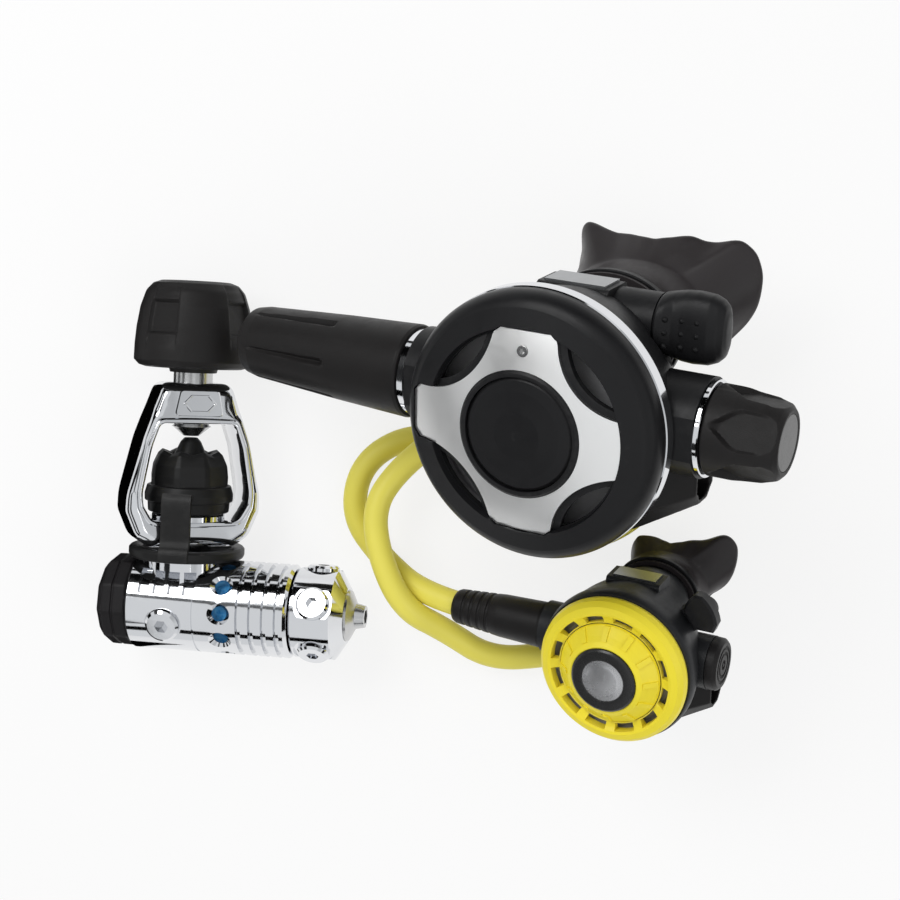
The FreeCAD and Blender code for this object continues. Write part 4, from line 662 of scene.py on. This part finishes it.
# Primary cover: a glass-filled nylon ring screwed on a chromed band, over a flexible inner purge button.
# A thin brushed plate with four arms lies sunk in the ring and is held by one small screw.
primary_axes = item_axes(-9.89, -19.90, 18.44, (144.86, 74.44, 105.02))
cover_black = moulded("cover_black", (0.009, 0.009, 0.010), (0.03, 0.03, 0.03), 0.36, 0.25, 0.12, 0.75,
                      0.22)
case_black = moulded("case_black", (0.012, 0.012, 0.013), (0.035, 0.035, 0.035), 0.4, 0.3, 0.16, 0.75,
                     0.2)
brushed = metal("brushed_plate", (0.95, 0.95, 0.94), 0.3, 0.05, 0.97, 0.03, 0.6)
finish(cover_black, "ps_cover_ring", "ps_purge_button")
finish(case_black, "ps_case")
finish(brushed, "ps_front_plate")
finish(stainless, "ps_plate_screw", "ps_demand_lever")
finish(chrome, "ps_chrome_band", "ps_chrome_rings")
finish(spring_wire, "ps_purge_spring", "ps_poppet_spring")
finish(plated_brass, "ps_barrel", "ps_poppet", "ps_adjust_screw")

# Diaphragms: thin clear silicone discs with one soft fold near the rim and a stiff middle that the lever
# rides on. The cover clamps each by its rim.
soft_clear = moulded("diaphragm_silicone", (0.30, 0.30, 0.31), (0.4, 0.4, 0.4), 0.4, 0.6, 0.06, 0.9, 0.4)


def diaphragm(rim, plate, top, thick):
    """A disc with its fold and its stiff middle."""
    under = top - thick
    line = rounded((
        (top, 0.0, 0), (top, rim - 4.0, 0.6), (top - 0.9, rim - 2.6, 0.8), (top, rim - 1.2, 0.5),
        (top, rim, 0.2), (under, rim, 0.2), (under, rim - 1.6, 0.5), (under - 0.9, rim - 2.6, 0.8),
        (under, rim - 3.8, 0.6), (under, plate, 0), (under - 0.5, plate, 0.15), (under - 0.5, 0.0, 0)))
    return [(turned(line, "z", 96), False)]


shape("primary_diaphragm", diaphragm(40.6, 20.0, -3.4, 1.0), primary_axes, soft_clear,
      "primary_diaphragm", "clear_silicone", "ps_diaphragm")

# Primary hose protector: a long black rubber sleeve with six grooves along its outer half, pushed over
# the inlet coupling and held by its own grip.
barrel_y, barrel_z = 2.3, -22.4
sleeve_low, sleeve_high = -128.0, -56.55


def sleeve_grooves(along, angle, radius):
    """Six long grooves that widen and deepen away from the sleeve's mouth."""
    aside = (np.degrees(angle) - 7.0 + 30.0) % 60.0 - 30.0
    share = np.clip((along + 122.0) / 34.0, 0.0, 1.0)
    inside = np.clip(1.0 - np.abs(aside) / (3.0 + 3.6 * share), 0.0, 1.0)
    reach = ease(along, -123.5, -120.0) * (1.0 - ease(along, -89.0, -86.5))
    groove = (0.7 + 1.5 * share) * inside * reach * np.where(radius > 11.0, 1.0, 0.0)
    return along, radius - groove


sleeve_line = rounded((
    (sleeve_high, 10.2, 0.2), (sleeve_high, 16.1, 0.4), (sleeve_high - 1.2, 16.6, 0.6),
    (sleeve_high - 30.0, 15.4, 8), (-122.0, 13.3, 4), (-126.4, 12.4, 1.0), (sleeve_low, 10.6, 0.8),
    (sleeve_low, 5.7, 0.5), (sleeve_high - 30.0, 5.72, 0.3), (sleeve_high - 30.0, 10.2, 0.3)))
sleeve_rubber = moulded("sleeve_rubber", (0.013, 0.012, 0.012), (0.035, 0.034, 0.034), 0.42, 0.35, 0.18,
                        0.75, 0.2)
sleeve_rings = turned(fine(sleeve_line, 0.9), "x", 240, sleeve_grooves, (barrel_y, barrel_z))
shape("primary_hose_protector", [(sleeve_rings, True)], primary_axes, sleeve_rubber, "set",
      "black_rubber", "ps_hose_protector")

# Breathing adjuster: a hard black knob with five hollow flats, pressed on the adjusting screw, with a
# plain badge in its end.
knob_start, knob_end = 53.4, 78.0


def adjuster_flats(along, angle, radius):
    """Five hollow flats that widen towards the knob's end."""
    aside = np.abs((np.degrees(angle) - 24.0 + 36.0) % 72.0 - 36.0)
    half = 26.5 * ease(along, knob_start + 0.5, knob_start + 12.5)
    inside = 1.0 - ease(aside, half - 1.4, half + 1.4)
    plane = 12.5 - 0.045 * (along - 62.0)
    flat = np.minimum(radius, plane / np.cos(np.radians(aside)) - 0.25)
    share = inside * ease(along, knob_start + 2.2, knob_start + 5.0) * np.where(radius > 10.2, 1.0, 0.0)
    return along, radius + (flat - radius) * share


adjuster_line = rounded((
    (knob_start, 4.85, 0), (knob_start, 14.2, 0.3), (knob_start + 0.8, 15.0, 0.5),
    (knob_start + 8.5, 14.9, 3), (knob_end - 7.0, 14.0, 4), (knob_end - 2.0, 12.4, 1.6),
    (knob_end - 0.4, 10.6, 0.9), (knob_end - 0.6, 9.25, 0.3), (knob_end - 1.6, 9.2, 0.2),
    (knob_end - 1.6, 0.0, 0)))
adjuster_back = [(knob_start, 4.85), (knob_end - 8.0, 4.85), (knob_end - 8.0, 0.0)]
adjuster_line = [np.array(p) for p in reversed(adjuster_back)] + fine(adjuster_line, 0.5)[1:]
adjuster_rings = turned(adjuster_line, "x", 300, adjuster_flats, (barrel_y, barrel_z))
shape("adjuster_knob", [(adjuster_rings, False)], primary_axes, grip_rubber, "primary_adjust_knob",
      "black_plastic", "ps_adjust_knob")
finish(gloss_black, "ps_knob_badge")

# Venturi lever: a moulded nylon thumb lever that turns on a stub of the case, with nine round grip bumps
# on its front. Each station of its shape is (x, half width, front, back, roundness).
lever_y, lever_z = 30.0, -37.0


def squared(angle, power):
    """Across and up on the outline of a rounded square; the lower the power, the squarer it is."""
    across, up = math.sin(angle), math.cos(angle)
    return math.copysign(abs(across) ** power, across), math.copysign(abs(up) ** power, up)


lever_stations = (
    (27.5, 9.2, 9.2, 9.2, 2.0), (28.4, 10.1, 10.0, 10.0, 2.0), (30.5, 10.6, 9.0, 9.6, 2.2),
    (33.0, 11.2, 7.4, 8.0, 2.3), (36.0, 11.8, 6.8, 5.8, 2.6), (40.0, 12.0, 6.8, 5.4, 2.8),
    (45.0, 11.6, 6.7, 5.2, 2.8), (48.0, 10.4, 6.2, 4.8, 2.6), (49.8, 8.6, 5.0, 4.0, 2.5),
    (50.6, 6.0, 3.2, 2.6, 2.3), (50.8, 2.0, 1.0, 0.8, 2.2))
lever_rings = []
stations = np.array(lever_stations)
for x in np.concatenate((np.arange(27.5, 50.0, 0.35), np.arange(50.0, 50.81, 0.1))):
    half, front, back, power = (float(np.interp(x, stations[:, 0], stations[:, k])) for k in (1, 2, 3, 4))
    ring = []
    for step in range(200):
        across, up = squared(2 * math.pi * step / 200, 2 / power)
        up *= front if up > 0 else back
        ring.append((x, lever_y + across * half, lever_z + up))
    lever_rings.append(ring)
lever_parts = [(lever_rings, False)]
for x in (31.4, 36.6, 41.8):
    for y in (24.4, 28.8, 33.2):
        base = float(np.interp(x, stations[:, 0], stations[:, 2])) + lever_z - 0.55
        bump = rounded(((base - 0.6, 0.95, 0), (base + 0.5, 0.95, 0.35), (base + 1.05, 0.4, 0.4),
                        (base + 1.1, 0.0, 0)))
        lever_parts.append((turned(bump, "z", 24, None, (x, y)), False))
shape("venturi_lever", lever_parts, primary_axes, case_black, "primary_venturi", "black_plastic",
      "ps_venturi_lever")

# Mouthpieces: each one silicone moulding, a socket that a cable tie clamps on the case's neck, a flared
# lip shield and two bite lugs. The shields' outlines are drawn by angle about the middle of the mouth.


def polar(table):
    """A radius by angle through the table's (degrees, radius) rows."""
    angles = np.array([row[0] for row in table], float)
    radii = np.array([row[1] for row in table], float)
    order = np.argsort(angles)
    return lambda turn: np.interp(turn, angles[order], radii[order], period=360.0)


def oval(turn, middle, centre_y, across, up):
    """Distance from (0, middle) to an oval about (0, centre_y)."""
    shift = centre_y - middle
    c, s = np.cos(np.radians(turn)), np.sin(np.radians(turn))
    a = (c / across) ** 2 + (s / up) ** 2
    b = -2 * shift * s / up ** 2
    k = (shift / up) ** 2 - 1
    return (-b + np.sqrt(b * b - 4 * a * k)) / (2 * a)


def mouthpiece(middle, shield, rim_z, droop, tube, bore, lip, lug):
    """Outer tube, shield and bore as one closed skin, and the two lugs."""
    turn = np.arange(288) * (360.0 / 288)
    edge = shield(turn)
    for _ in range(6):
        edge = (np.roll(edge, 1) + 2 * edge + np.roll(edge, -1)) / 4
    wave = 0.35 * np.sin(np.radians(turn * 5 + 40)) + 0.25 * np.sin(np.radians(turn * 9))
    rim = rim_z - droop * np.cos(np.radians(turn)) ** 2
    rings = []

    def ring(radius, z):
        rings.append(np.stack((radius * np.cos(np.radians(turn)),
                               middle + radius * np.sin(np.radians(turn)),
                               np.broadcast_to(z, turn.shape)), 1))

    for z, centre_y, across, up in tube:
        ring(oval(turn, middle, centre_y, across, up), z)
    foot = oval(turn, middle, tube[-1][1], tube[-1][2], tube[-1][3])
    foot_z = tube[-1][0]
    for share in np.linspace(0.0, 1.0, 15)[1:]:
        flare = share ** 1.25
        lift = (rim - foot_z) * (share ** 0.8 * 0.35 + 0.65 * share ** 1.6)
        ring(foot + (edge - foot) * flare, foot_z + lift + wave * share)
    ring(edge + 0.45, rim + wave - 0.6)
    ring(edge + 0.55, rim + wave - 1.3)
    ring(edge + 0.2, rim + wave - 2.0)
    lip_z, lip_across, lip_up = lip
    inner = oval(turn, middle, middle, lip_across, lip_up)
    inner = np.minimum(inner, edge - 3.0)
    for share in np.linspace(0.0, 1.0, 9):
        radius = (edge - 0.6) + (inner - edge + 0.6) * share
        ring(radius, (rim + wave - 2.4) * (1 - share) + lip_z * share)
    for z, centre_y, across, up in bore:
        ring(oval(turn, middle, centre_y, across, up), z)
    parts = [(rings, True)]
    x, y, thick, high, top, low = lug
    for side in (-1, 1):
        tab = []
        for z, grow in ((top, 0.0), ((top + low) / 2, -0.1), (low + 3.2, 0.0), (low + 2.4, 0.55),
                        (low + 0.9, 0.6), (low + 0.2, 0.2), (low, -0.6)):
            ends = []
            for step in range(40):
                rise, out = squared(2 * math.pi * step / 40, 0.6)
                ends.append((side * x + out * (thick / 2 + grow), y + rise * (high / 2 + min(grow, 0)), z))
            tab.append(ends)
        parts.append((tab, False))
    return parts


primary_shield = polar((
    (-90, 18), (-60, 22), (-40, 27), (-13.6, 33.2), (4.7, 39.3), (20.4, 43.1), (31, 43.9), (41, 41.5),
    (44.6, 35), (52, 31.5), (60, 30.5), (72, 26.5), (85, 24.1), (100, 24.6), (112, 26), (120, 27.4),
    (127, 31), (134, 37.4), (140, 37), (152, 32.3), (165, 31), (180, 33), (195, 31), (215, 27),
    (240, 22)))
primary_tube = (
    (-55.5, 17.0, 25.0, 20.8), (-55.5, 17.0, 25.5, 21.3), (-56.6, 17.0, 25.6, 21.4),
    (-56.9, 17.0, 25.0, 20.8), (-60.2, 17.0, 25.0, 20.8), (-60.5, 17.0, 25.5, 21.3),
    (-62.0, 17.0, 25.5, 21.3), (-64.0, 17.2, 24.6, 20.4), (-66.5, 17.4, 23.8, 19.6),
    (-71.0, 17.9, 24.0, 18.8), (-76.0, 18.6, 25.4, 18.4), (-80.0, 19.0, 27.0, 18.8))
primary_bore = (
    (-97.4, 19.5, 17.2, 10.7), (-96.4, 19.5, 16.6, 10.1), (-84.0, 19.5, 16.5, 10.0),
    (-70.0, 18.0, 18.5, 13.5), (-63.0, 17.0, 22.52, 18.42), (-55.6, 17.0, 22.52, 18.42))
mouth_silicone = moulded("mouth_silicone", (0.030, 0.026, 0.027), (0.045, 0.04, 0.04), 0.38, 0.6, 0.14,
                         0.75, 0.3)
primary_mouth = mouthpiece(19.5, primary_shield, -88.0, 8.0, primary_tube, primary_bore,
                           (-97.6, 21.0, 14.4), (23.5, 17.5, 5.0, 17.0, -94.0, -110.55))
shape("primary_mouthpiece", primary_mouth, primary_axes, mouth_silicone, "set", "silicone",
      "ps_mouthpiece", 60.0)
octopus_shield = polar((
    (-90, 13), (-60, 14.5), (-40, 15), (-21, 16), (-3, 20.1), (15, 24), (32.4, 28), (40, 28),
    (46.2, 26.6), (50, 21), (56, 18.2), (75, 14), (94, 12.3), (110, 13.2), (125, 16), (139, 18.5),
    (152, 18.4), (168, 17.5), (185, 17), (200, 16.5), (220, 15), (240, 14)))
octopus_tube = (
    (-38.5, 11.5, 15.0, 13.4), (-38.5, 11.5, 15.35, 13.75), (-39.3, 11.5, 15.4, 13.8),
    (-39.6, 11.5, 15.0, 13.4), (-41.8, 11.5, 15.0, 13.4), (-42.0, 11.5, 15.4, 13.8),
    (-43.0, 11.5, 15.2, 13.5), (-45.0, 11.7, 14.4, 12.4), (-48.0, 12.0, 14.7, 11.8),
    (-51.0, 12.5, 15.8, 11.7))
octopus_bore = (
    (-60.6, 13.0, 10.6, 6.9), (-60.0, 13.0, 10.1, 6.3), (-54.0, 13.0, 10.0, 6.2),
    (-47.0, 12.0, 11.0, 8.6), (-43.0, 11.5, 13.42, 11.82), (-38.6, 11.5, 13.42, 11.82))
octopus_mouth = mouthpiece(13.0, octopus_shield, -54.4, 3.6, octopus_tube, octopus_bore,
                           (-60.7, 13.4, 9.4), (13.6, 12.0, 3.4, 10.4, -58.5, -67.15))
shape("octopus_mouthpiece", octopus_mouth, octopus_axes, mouth_silicone, "set", "silicone",
      "os_mouthpiece", 60.0)

# Mouthpiece ties: black nylon cable ties, each pulled tight in its groove through a square lock that has
# the tail cut off.


def tie(centre_y, top, low, across, up, lock_w, lock_h):
    """A tie's band and its lock."""
    def on_oval(along, angle, radius):
        return along, radius + 1.0 / np.sqrt((np.sin(angle) / up) ** 2 + (np.cos(angle) / across) ** 2)

    band = rounded((
        (top - 0.2, 0.1, 0), (top - 0.2, 1.2, 0.3), (top - 0.6, 1.45, 0.2), (low + 0.6, 1.45, 0.2),
        (low + 0.2, 1.2, 0.3), (low + 0.2, 0.1, 0)))
    rings = turned(band, "z", 200, on_oval, (0.0, centre_y))
    lock = []
    edge = centre_y - up - 1.2
    for z, shrink in ((low - 0.2, 0.5), (low + 0.15, 0.1), (top - 0.15, 0.1), (top + 0.2, 0.5)):
        ring = []
        for step in range(32):
            rise, out = squared(2 * math.pi * (step + 0.5) / 32, 0.35)
            ring.append((out * (lock_w / 2 - shrink),
                         edge - lock_h / 2 + rise * (lock_h / 2 - shrink + 0.4), z))
        lock.append(ring)
    return [(rings, True), (lock, False)]


tie_mesh = skin("ties", tie(17.0, -56.9, -60.2, 25.0, 20.8, 7.6, 4.0), primary_axes)
small_tie = skin("small_tie", tie(11.5, -39.6, -41.8, 15.0, 13.4, 5.4, 3.0), octopus_axes)
piece("mouthpiece_ties", joined(tie_mesh, small_tie), cover_black, "set", "black_plastic",
      "mouthpiece_ties")

# Exhaust tees: soft black rubber wings, stretched over the case's outlet, that carry the bubbles off to
# both sides. Their edges are all rounded by the mould.


def softened(name, node, voxel, passes, surface, slot):
    """A copy of a solid with its edges rounded."""
    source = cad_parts[node]
    item = piece(name, source.data.copy(), surface, "set", slot, node)
    item.matrix_world = source.matrix_world.copy()
    item.data.materials.clear()
    item.data.materials.append(surface)
    remesh = item.modifiers.new("skin", "REMESH")
    remesh.mode = "VOXEL"
    remesh.voxel_size = voxel * mm
    remesh.use_smooth_shade = True
    smooth = item.modifiers.new("soft", "SMOOTH")
    smooth.factor = 0.5
    smooth.iterations = passes


softened("primary_exhaust_tee", "ps_exhaust_tee", 0.6, 14, sleeve_rubber, "black_rubber")
softened("octopus_exhaust_tee", "os_exhaust_tee", 0.4, 12, sleeve_rubber, "black_rubber")

# Exhaust valves: thin clear silicone flaps behind the tees. Each is moulded with a button in its middle,
# which the stem in the case's outlet goes through, and its rim lies on the outlet.
flap_clear = moulded("flap_silicone", (0.32, 0.32, 0.33), (0.4, 0.4, 0.4), 0.38, 0.5, 0.05, 0.9, 0.4)
outlet_facing = Vector((0.0, -0.78, -0.626)).normalized()


def flap(name, axes, outlet, gap, radius, thick):
    """A flap with its button, gap millimetres out from its outlet."""
    turn = Vector((0.0, 0.0, 1.0)).rotation_difference(outlet_facing).to_matrix().to_4x4()
    seat = axes @ Matrix.Translation(Vector(outlet) + gap * outlet_facing) @ turn
    line = rounded((
        (0.0, 0.0, 0), (0.0, 2.2, 0.2), (0.1 * thick, 3.2, 0.3), (0.1 * thick, radius - 1.8, 0.5),
        (0.35 * thick, radius, 0.1), (0.85 * thick, radius, 0.1), (0.7 * thick, radius - 1.8, 0.5),
        (0.8 * thick, 3.0, 0.4), (thick + 0.2, 2.0, 0.3), (thick + 0.35, 1.2, 0.2),
        (thick + 0.35, 0.0, 0)))
    return skin(name, [(turned(line, "z", 96), False)], seat)


flaps = joined(flap("exhaust_flaps", primary_axes, (0.0, -29.0, -33.4), 1.6, 9.8, 0.9),
               flap("small_flap", octopus_axes, (0.0, -18.6, -22.4), 1.2, 6.2, 0.7))
piece("exhaust_flaps", flaps, flap_clear, "set", "clear_silicone", "exhaust_valves")

# Case badges: blank oblong plates in the top of each case, moulded with the case and left plain.
badge_grey = metal("badge_grey", (0.36, 0.37, 0.38), 0.28, 0.06)
finish(badge_grey, "case_badges")

# Inlet couplings and orifices: turned brass, plated, screwed in the barrels under the protectors.
finish(plated_brass, "inlet_couplings", "orifices")

# Octopus: a smaller second stage with a grey nylon case, a yellow cover ring, and a purge disc that is
# one flexible moulding in the same yellow. A black nylon fin on its side turns the venturi vane.
octopus_grey = moulded("octopus_grey", (0.020, 0.021, 0.023), (0.05, 0.05, 0.05), 0.42, 0.3, 0.15, 0.8,
                       0.2)
octopus_yellow = moulded("octopus_yellow", (0.88, 0.74, 0.035), (0.92, 0.82, 0.2), 0.4, 0.35, 0.1, 0.95,
                         0.3)
finish(octopus_grey, "os_case")
finish(octopus_yellow, "os_cover_ring", "os_purge_disc")
finish(cover_black, "os_venturi_lever")
finish(stainless, "os_demand_lever")
finish(plated_brass, "os_barrel", "os_poppet")
shape("octopus_diaphragm", diaphragm(24.4, 12.0, -0.2, 0.8), octopus_axes, soft_clear,
      "octopus_diaphragm", "clear_silicone", "os_diaphragm")

# Octopus badge: a gloss black disc pressed in the purge disc, with a plain silvered middle.
badge_r, badge_in = 11.9, 7.9
silver_r, silver_edge = 7.63, 0.05
silvered, tree, shader = new_surface("badge_black_and_silver")
place = add(tree, "TexCoord").outputs["Object"]
centre = octopus_axes @ Vector((0.0, 0.0, 10.0))
away = add(tree, "VectorMath", {"operation": "DISTANCE"}, i0=place, i1=tuple(centre)).outputs["Value"]
middle_part = add(tree, "MapRange", None, Value=away, From_Min=(silver_r + silver_edge) * mm,
                  From_Max=(silver_r - silver_edge) * mm).outputs[0]
skin_of = effect(tree, mould_grain, Grain_mm=0.5)
base = between(tree, middle_part, (0.012, 0.012, 0.012), (0.62, 0.62, 0.63))
tree.links.new(base, shader.inputs["Base Color"])
tree.links.new(middle_part, shader.inputs["Metallic"])
roughness = add(tree, "MapRange", None, Value=skin_of.outputs["Marks"], To_Min=0.2, To_Max=0.34)
tree.links.new(roughness.outputs[0], shader.inputs["Roughness"])
badge_profile = rounded((
    (8.4, 0.0, 0), (8.4, badge_r, 0.1), (9.6, badge_r, 0.4), (10.2, badge_r - 0.8, 0.5),
    (10.3, badge_in, 0.1), (9.9, badge_in - 0.2, 0.1), (10.2, badge_in - 2.5, 1), (10.5, 0.0, 0)))
shape("octopus_badge", [(turned(badge_profile, "z", 96), False)], octopus_axes, silvered,
      "octopus_button", "badge", "os_purge_badge")

# Octopus hose protector: a tapered black rubber sleeve with rings at its mouth.
octo_z = -19.7
small_sleeve = [(-34.65, 7.0, 0.2), (-34.65, 8.2, 0.3), (-36.0, 8.6, 0.5), (-53.0, 8.1, 3)]
for x in (-57.0, -60.5, -64.0, -67.5):
    r = 8.1 - 0.078 * (-53.0 - x)
    small_sleeve += [(x + 0.8, r, 0.3), (x + 0.5, r - 0.55, 0.2), (x - 0.5, r - 0.6, 0.2),
                     (x - 0.8, r - 0.12, 0.3)]
small_sleeve += [
    (-71.3, 6.6, 0.6), (-72.5, 6.0, 0.4), (-72.5, 5.0, 0.2), (-56.0, 5.0, 0.1), (-56.0, 7.0, 0.1)]
small_rings = turned(rounded(small_sleeve), "x", 96, None, (0.0, octo_z))
shape("octopus_hose_protector", [(small_rings, True)], octopus_axes, sleeve_rubber, "set",
      "black_rubber", "os_hose_protector")

# Octopus end cap: a rubber plug with three rings in its face, pushed on the barrel's far end.
cap_face = [(29.35, 0.0, 0), (29.35, 9.5, 0.2), (32.2, 9.4, 0.8), (33.4, 8.3, 0.5)]
for outer in (6.9, 4.9, 1.9):
    cap_face += [(33.4, outer, 0.15), (32.85, outer - 0.3, 0.15), (32.85, outer - 1.0, 0.15),
                 (33.4, outer - 1.3, 0.15)]
cap_face.append((33.4, 0.0, 0))
face_rings = turned(rounded(cap_face), "x", 96, None, (0.0, octo_z))
shape("octopus_end_cap", [(face_rings, False)], octopus_axes, sleeve_rubber, "set", "black_rubber",
      "os_end_cap")

# Table, backdrop and lamps: a white table under soft light from above, with dark cards round it that only
# the polished metal shows.
paper_share = 0.8
table, tree, shader = new_surface("white_table")
shader.inputs["Base Color"].default_value = (0.86, 0.86, 0.86, 1.0)
shader.inputs["Roughness"].default_value = 0.7
shader.inputs["Specular IOR Level"].default_value = 0.1
ray = add(tree, "LightPath").outputs
larger = {"operation": "MAXIMUM"}
seen = add(tree, "Math", larger, i0=ray["Is Camera Ray"], i1=ray["Is Glossy Ray"]).outputs[0]
seen = add(tree, "Math", larger, i0=seen, i1=ray["Is Transmission Ray"]).outputs[0]
share = add(tree, "Math", {"operation": "MULTIPLY"}, i0=seen, i1=paper_share).outputs[0]
paper = add(tree, "Emission", None, Color=(1.0, 1.0, 1.0, 1.0), Strength=1.0)
mixed = add(tree, "MixShader", None, i0=share, i1=shader.outputs[0], i2=paper.outputs[0])
tree.links.new(mixed.outputs[0], tree.nodes["Material Output"].inputs["Surface"])
floor_size = 6.0
bpy.ops.mesh.primitive_plane_add(size=floor_size, location=(0.0, 0.0, 0.0))
floor = bpy.context.object
floor.name = "table_top"
floor.data.materials.append(table)

world = bpy.data.worlds.new("studio")
bpy.context.scene.world = world
world.use_nodes = True
tree = world.node_tree
tree.nodes.clear()
ray = add(tree, "LightPath").outputs
room = add(tree, "Background", None, Color=(1.0, 1.0, 1.0, 1.0), Strength=0.55)
mirrored = add(tree, "Background", None, Color=(0.97, 0.985, 1.0, 1.0), Strength=0.8)
white = add(tree, "Background", None, Color=(1.0, 1.0, 1.0, 1.0), Strength=1.0)
mixed = add(tree, "MixShader", None, i0=ray["Is Glossy Ray"], i1=room.outputs[0], i2=mirrored.outputs[0])
mixed = add(tree, "MixShader", None, i0=ray["Is Camera Ray"], i1=mixed.outputs[0], i2=white.outputs[0])
add(tree, "OutputWorld", None, Surface=mixed.outputs[0])


def card(name, tone, place, aim, width, height):
    """A board that only mirrors see, black or with a soft tone of its own."""
    board, tree, _ = new_surface(name)
    across = add(tree, "Mapping", None, Vector=add(tree, "TexCoord").outputs["Object"],
                 Scale=(0.6, 1.4, 1.0))
    drift = add(tree, "TexNoise", None, Vector=across.outputs[0], Scale=1.0, Detail=1.0)
    shade = add(tree, "MapRange", None, Value=drift.outputs["Fac"], From_Min=0.3, From_Max=0.7,
                To_Min=tone * 0.8,
                To_Max=tone * 1.15 + 0.002)
    paint = add(tree, "Emission", None, Color=(0.96, 0.98, 1.0, 1.0), Strength=shade.outputs[0])
    tree.links.new(paint.outputs[0], tree.nodes["Material Output"].inputs["Surface"])
    bpy.ops.mesh.primitive_plane_add(size=1.0)
    plane = bpy.context.object
    plane.name = name
    plane.scale = (width, height, 1.0)
    plane.location = place
    plane.rotation_mode = "QUATERNION"
    plane.rotation_quaternion = (Vector(aim) - Vector(place)).to_track_quat("Z", "Y")
    plane.data.materials.append(board)
    plane.visible_camera = False
    plane.visible_diffuse = False
    plane.visible_shadow = False


middle = (cad_low + cad_high) / 2
card("card_back", 0.0, (0.0, 0.62, 0.37), middle, 2.0, 0.34)
card("card_back_low", 0.0, (0.0, 0.62, 0.07), middle, 2.0, 0.07)
card("card_left", 0.0, (-0.62, 0.0, 0.20), middle, 1.4, 0.16)
card("card_left_high", 0.02, (-0.5, 0.0, 0.52), middle, 1.4, 0.2)
card("card_right", 0.0, (0.55, -0.05, 0.2), middle, 1.2, 0.16)
card("card_right_high", 0.6, (0.42, 0.0, 0.52), middle, 1.2, 0.42)
card("card_front", 0.0, (0.0, -0.6, 0.3), middle, 1.8, 0.12)
card("card_table", 0.0, (-0.21, 0.03, 0.002), (-0.21, 0.03, 1.0), 0.17, 0.34)
card("card_above", 0.12, (-0.16, 0.1, 0.9), middle, 0.1, 0.7)


def soft_lamp(name, place, aim, width, height, power):
    """An area lamp that faces a point."""
    data = bpy.data.lights.new(name, "AREA")
    data.shape = "RECTANGLE"
    data.size = width
    data.size_y = height
    data.energy = power
    lamp = bpy.data.objects.new(name, data)
    bpy.context.scene.collection.objects.link(lamp)
    lamp.location = place
    lamp.rotation_mode = "QUATERNION"
    lamp.rotation_quaternion = (Vector(aim) - Vector(place)).to_track_quat("-Z", "Y")


soft_lamp("key", (-0.45, 0.5, 0.8), middle, 0.7, 0.5, 5.0)
soft_lamp("fill", (0.6, -0.3, 0.7), middle, 0.6, 0.6, 2.2)
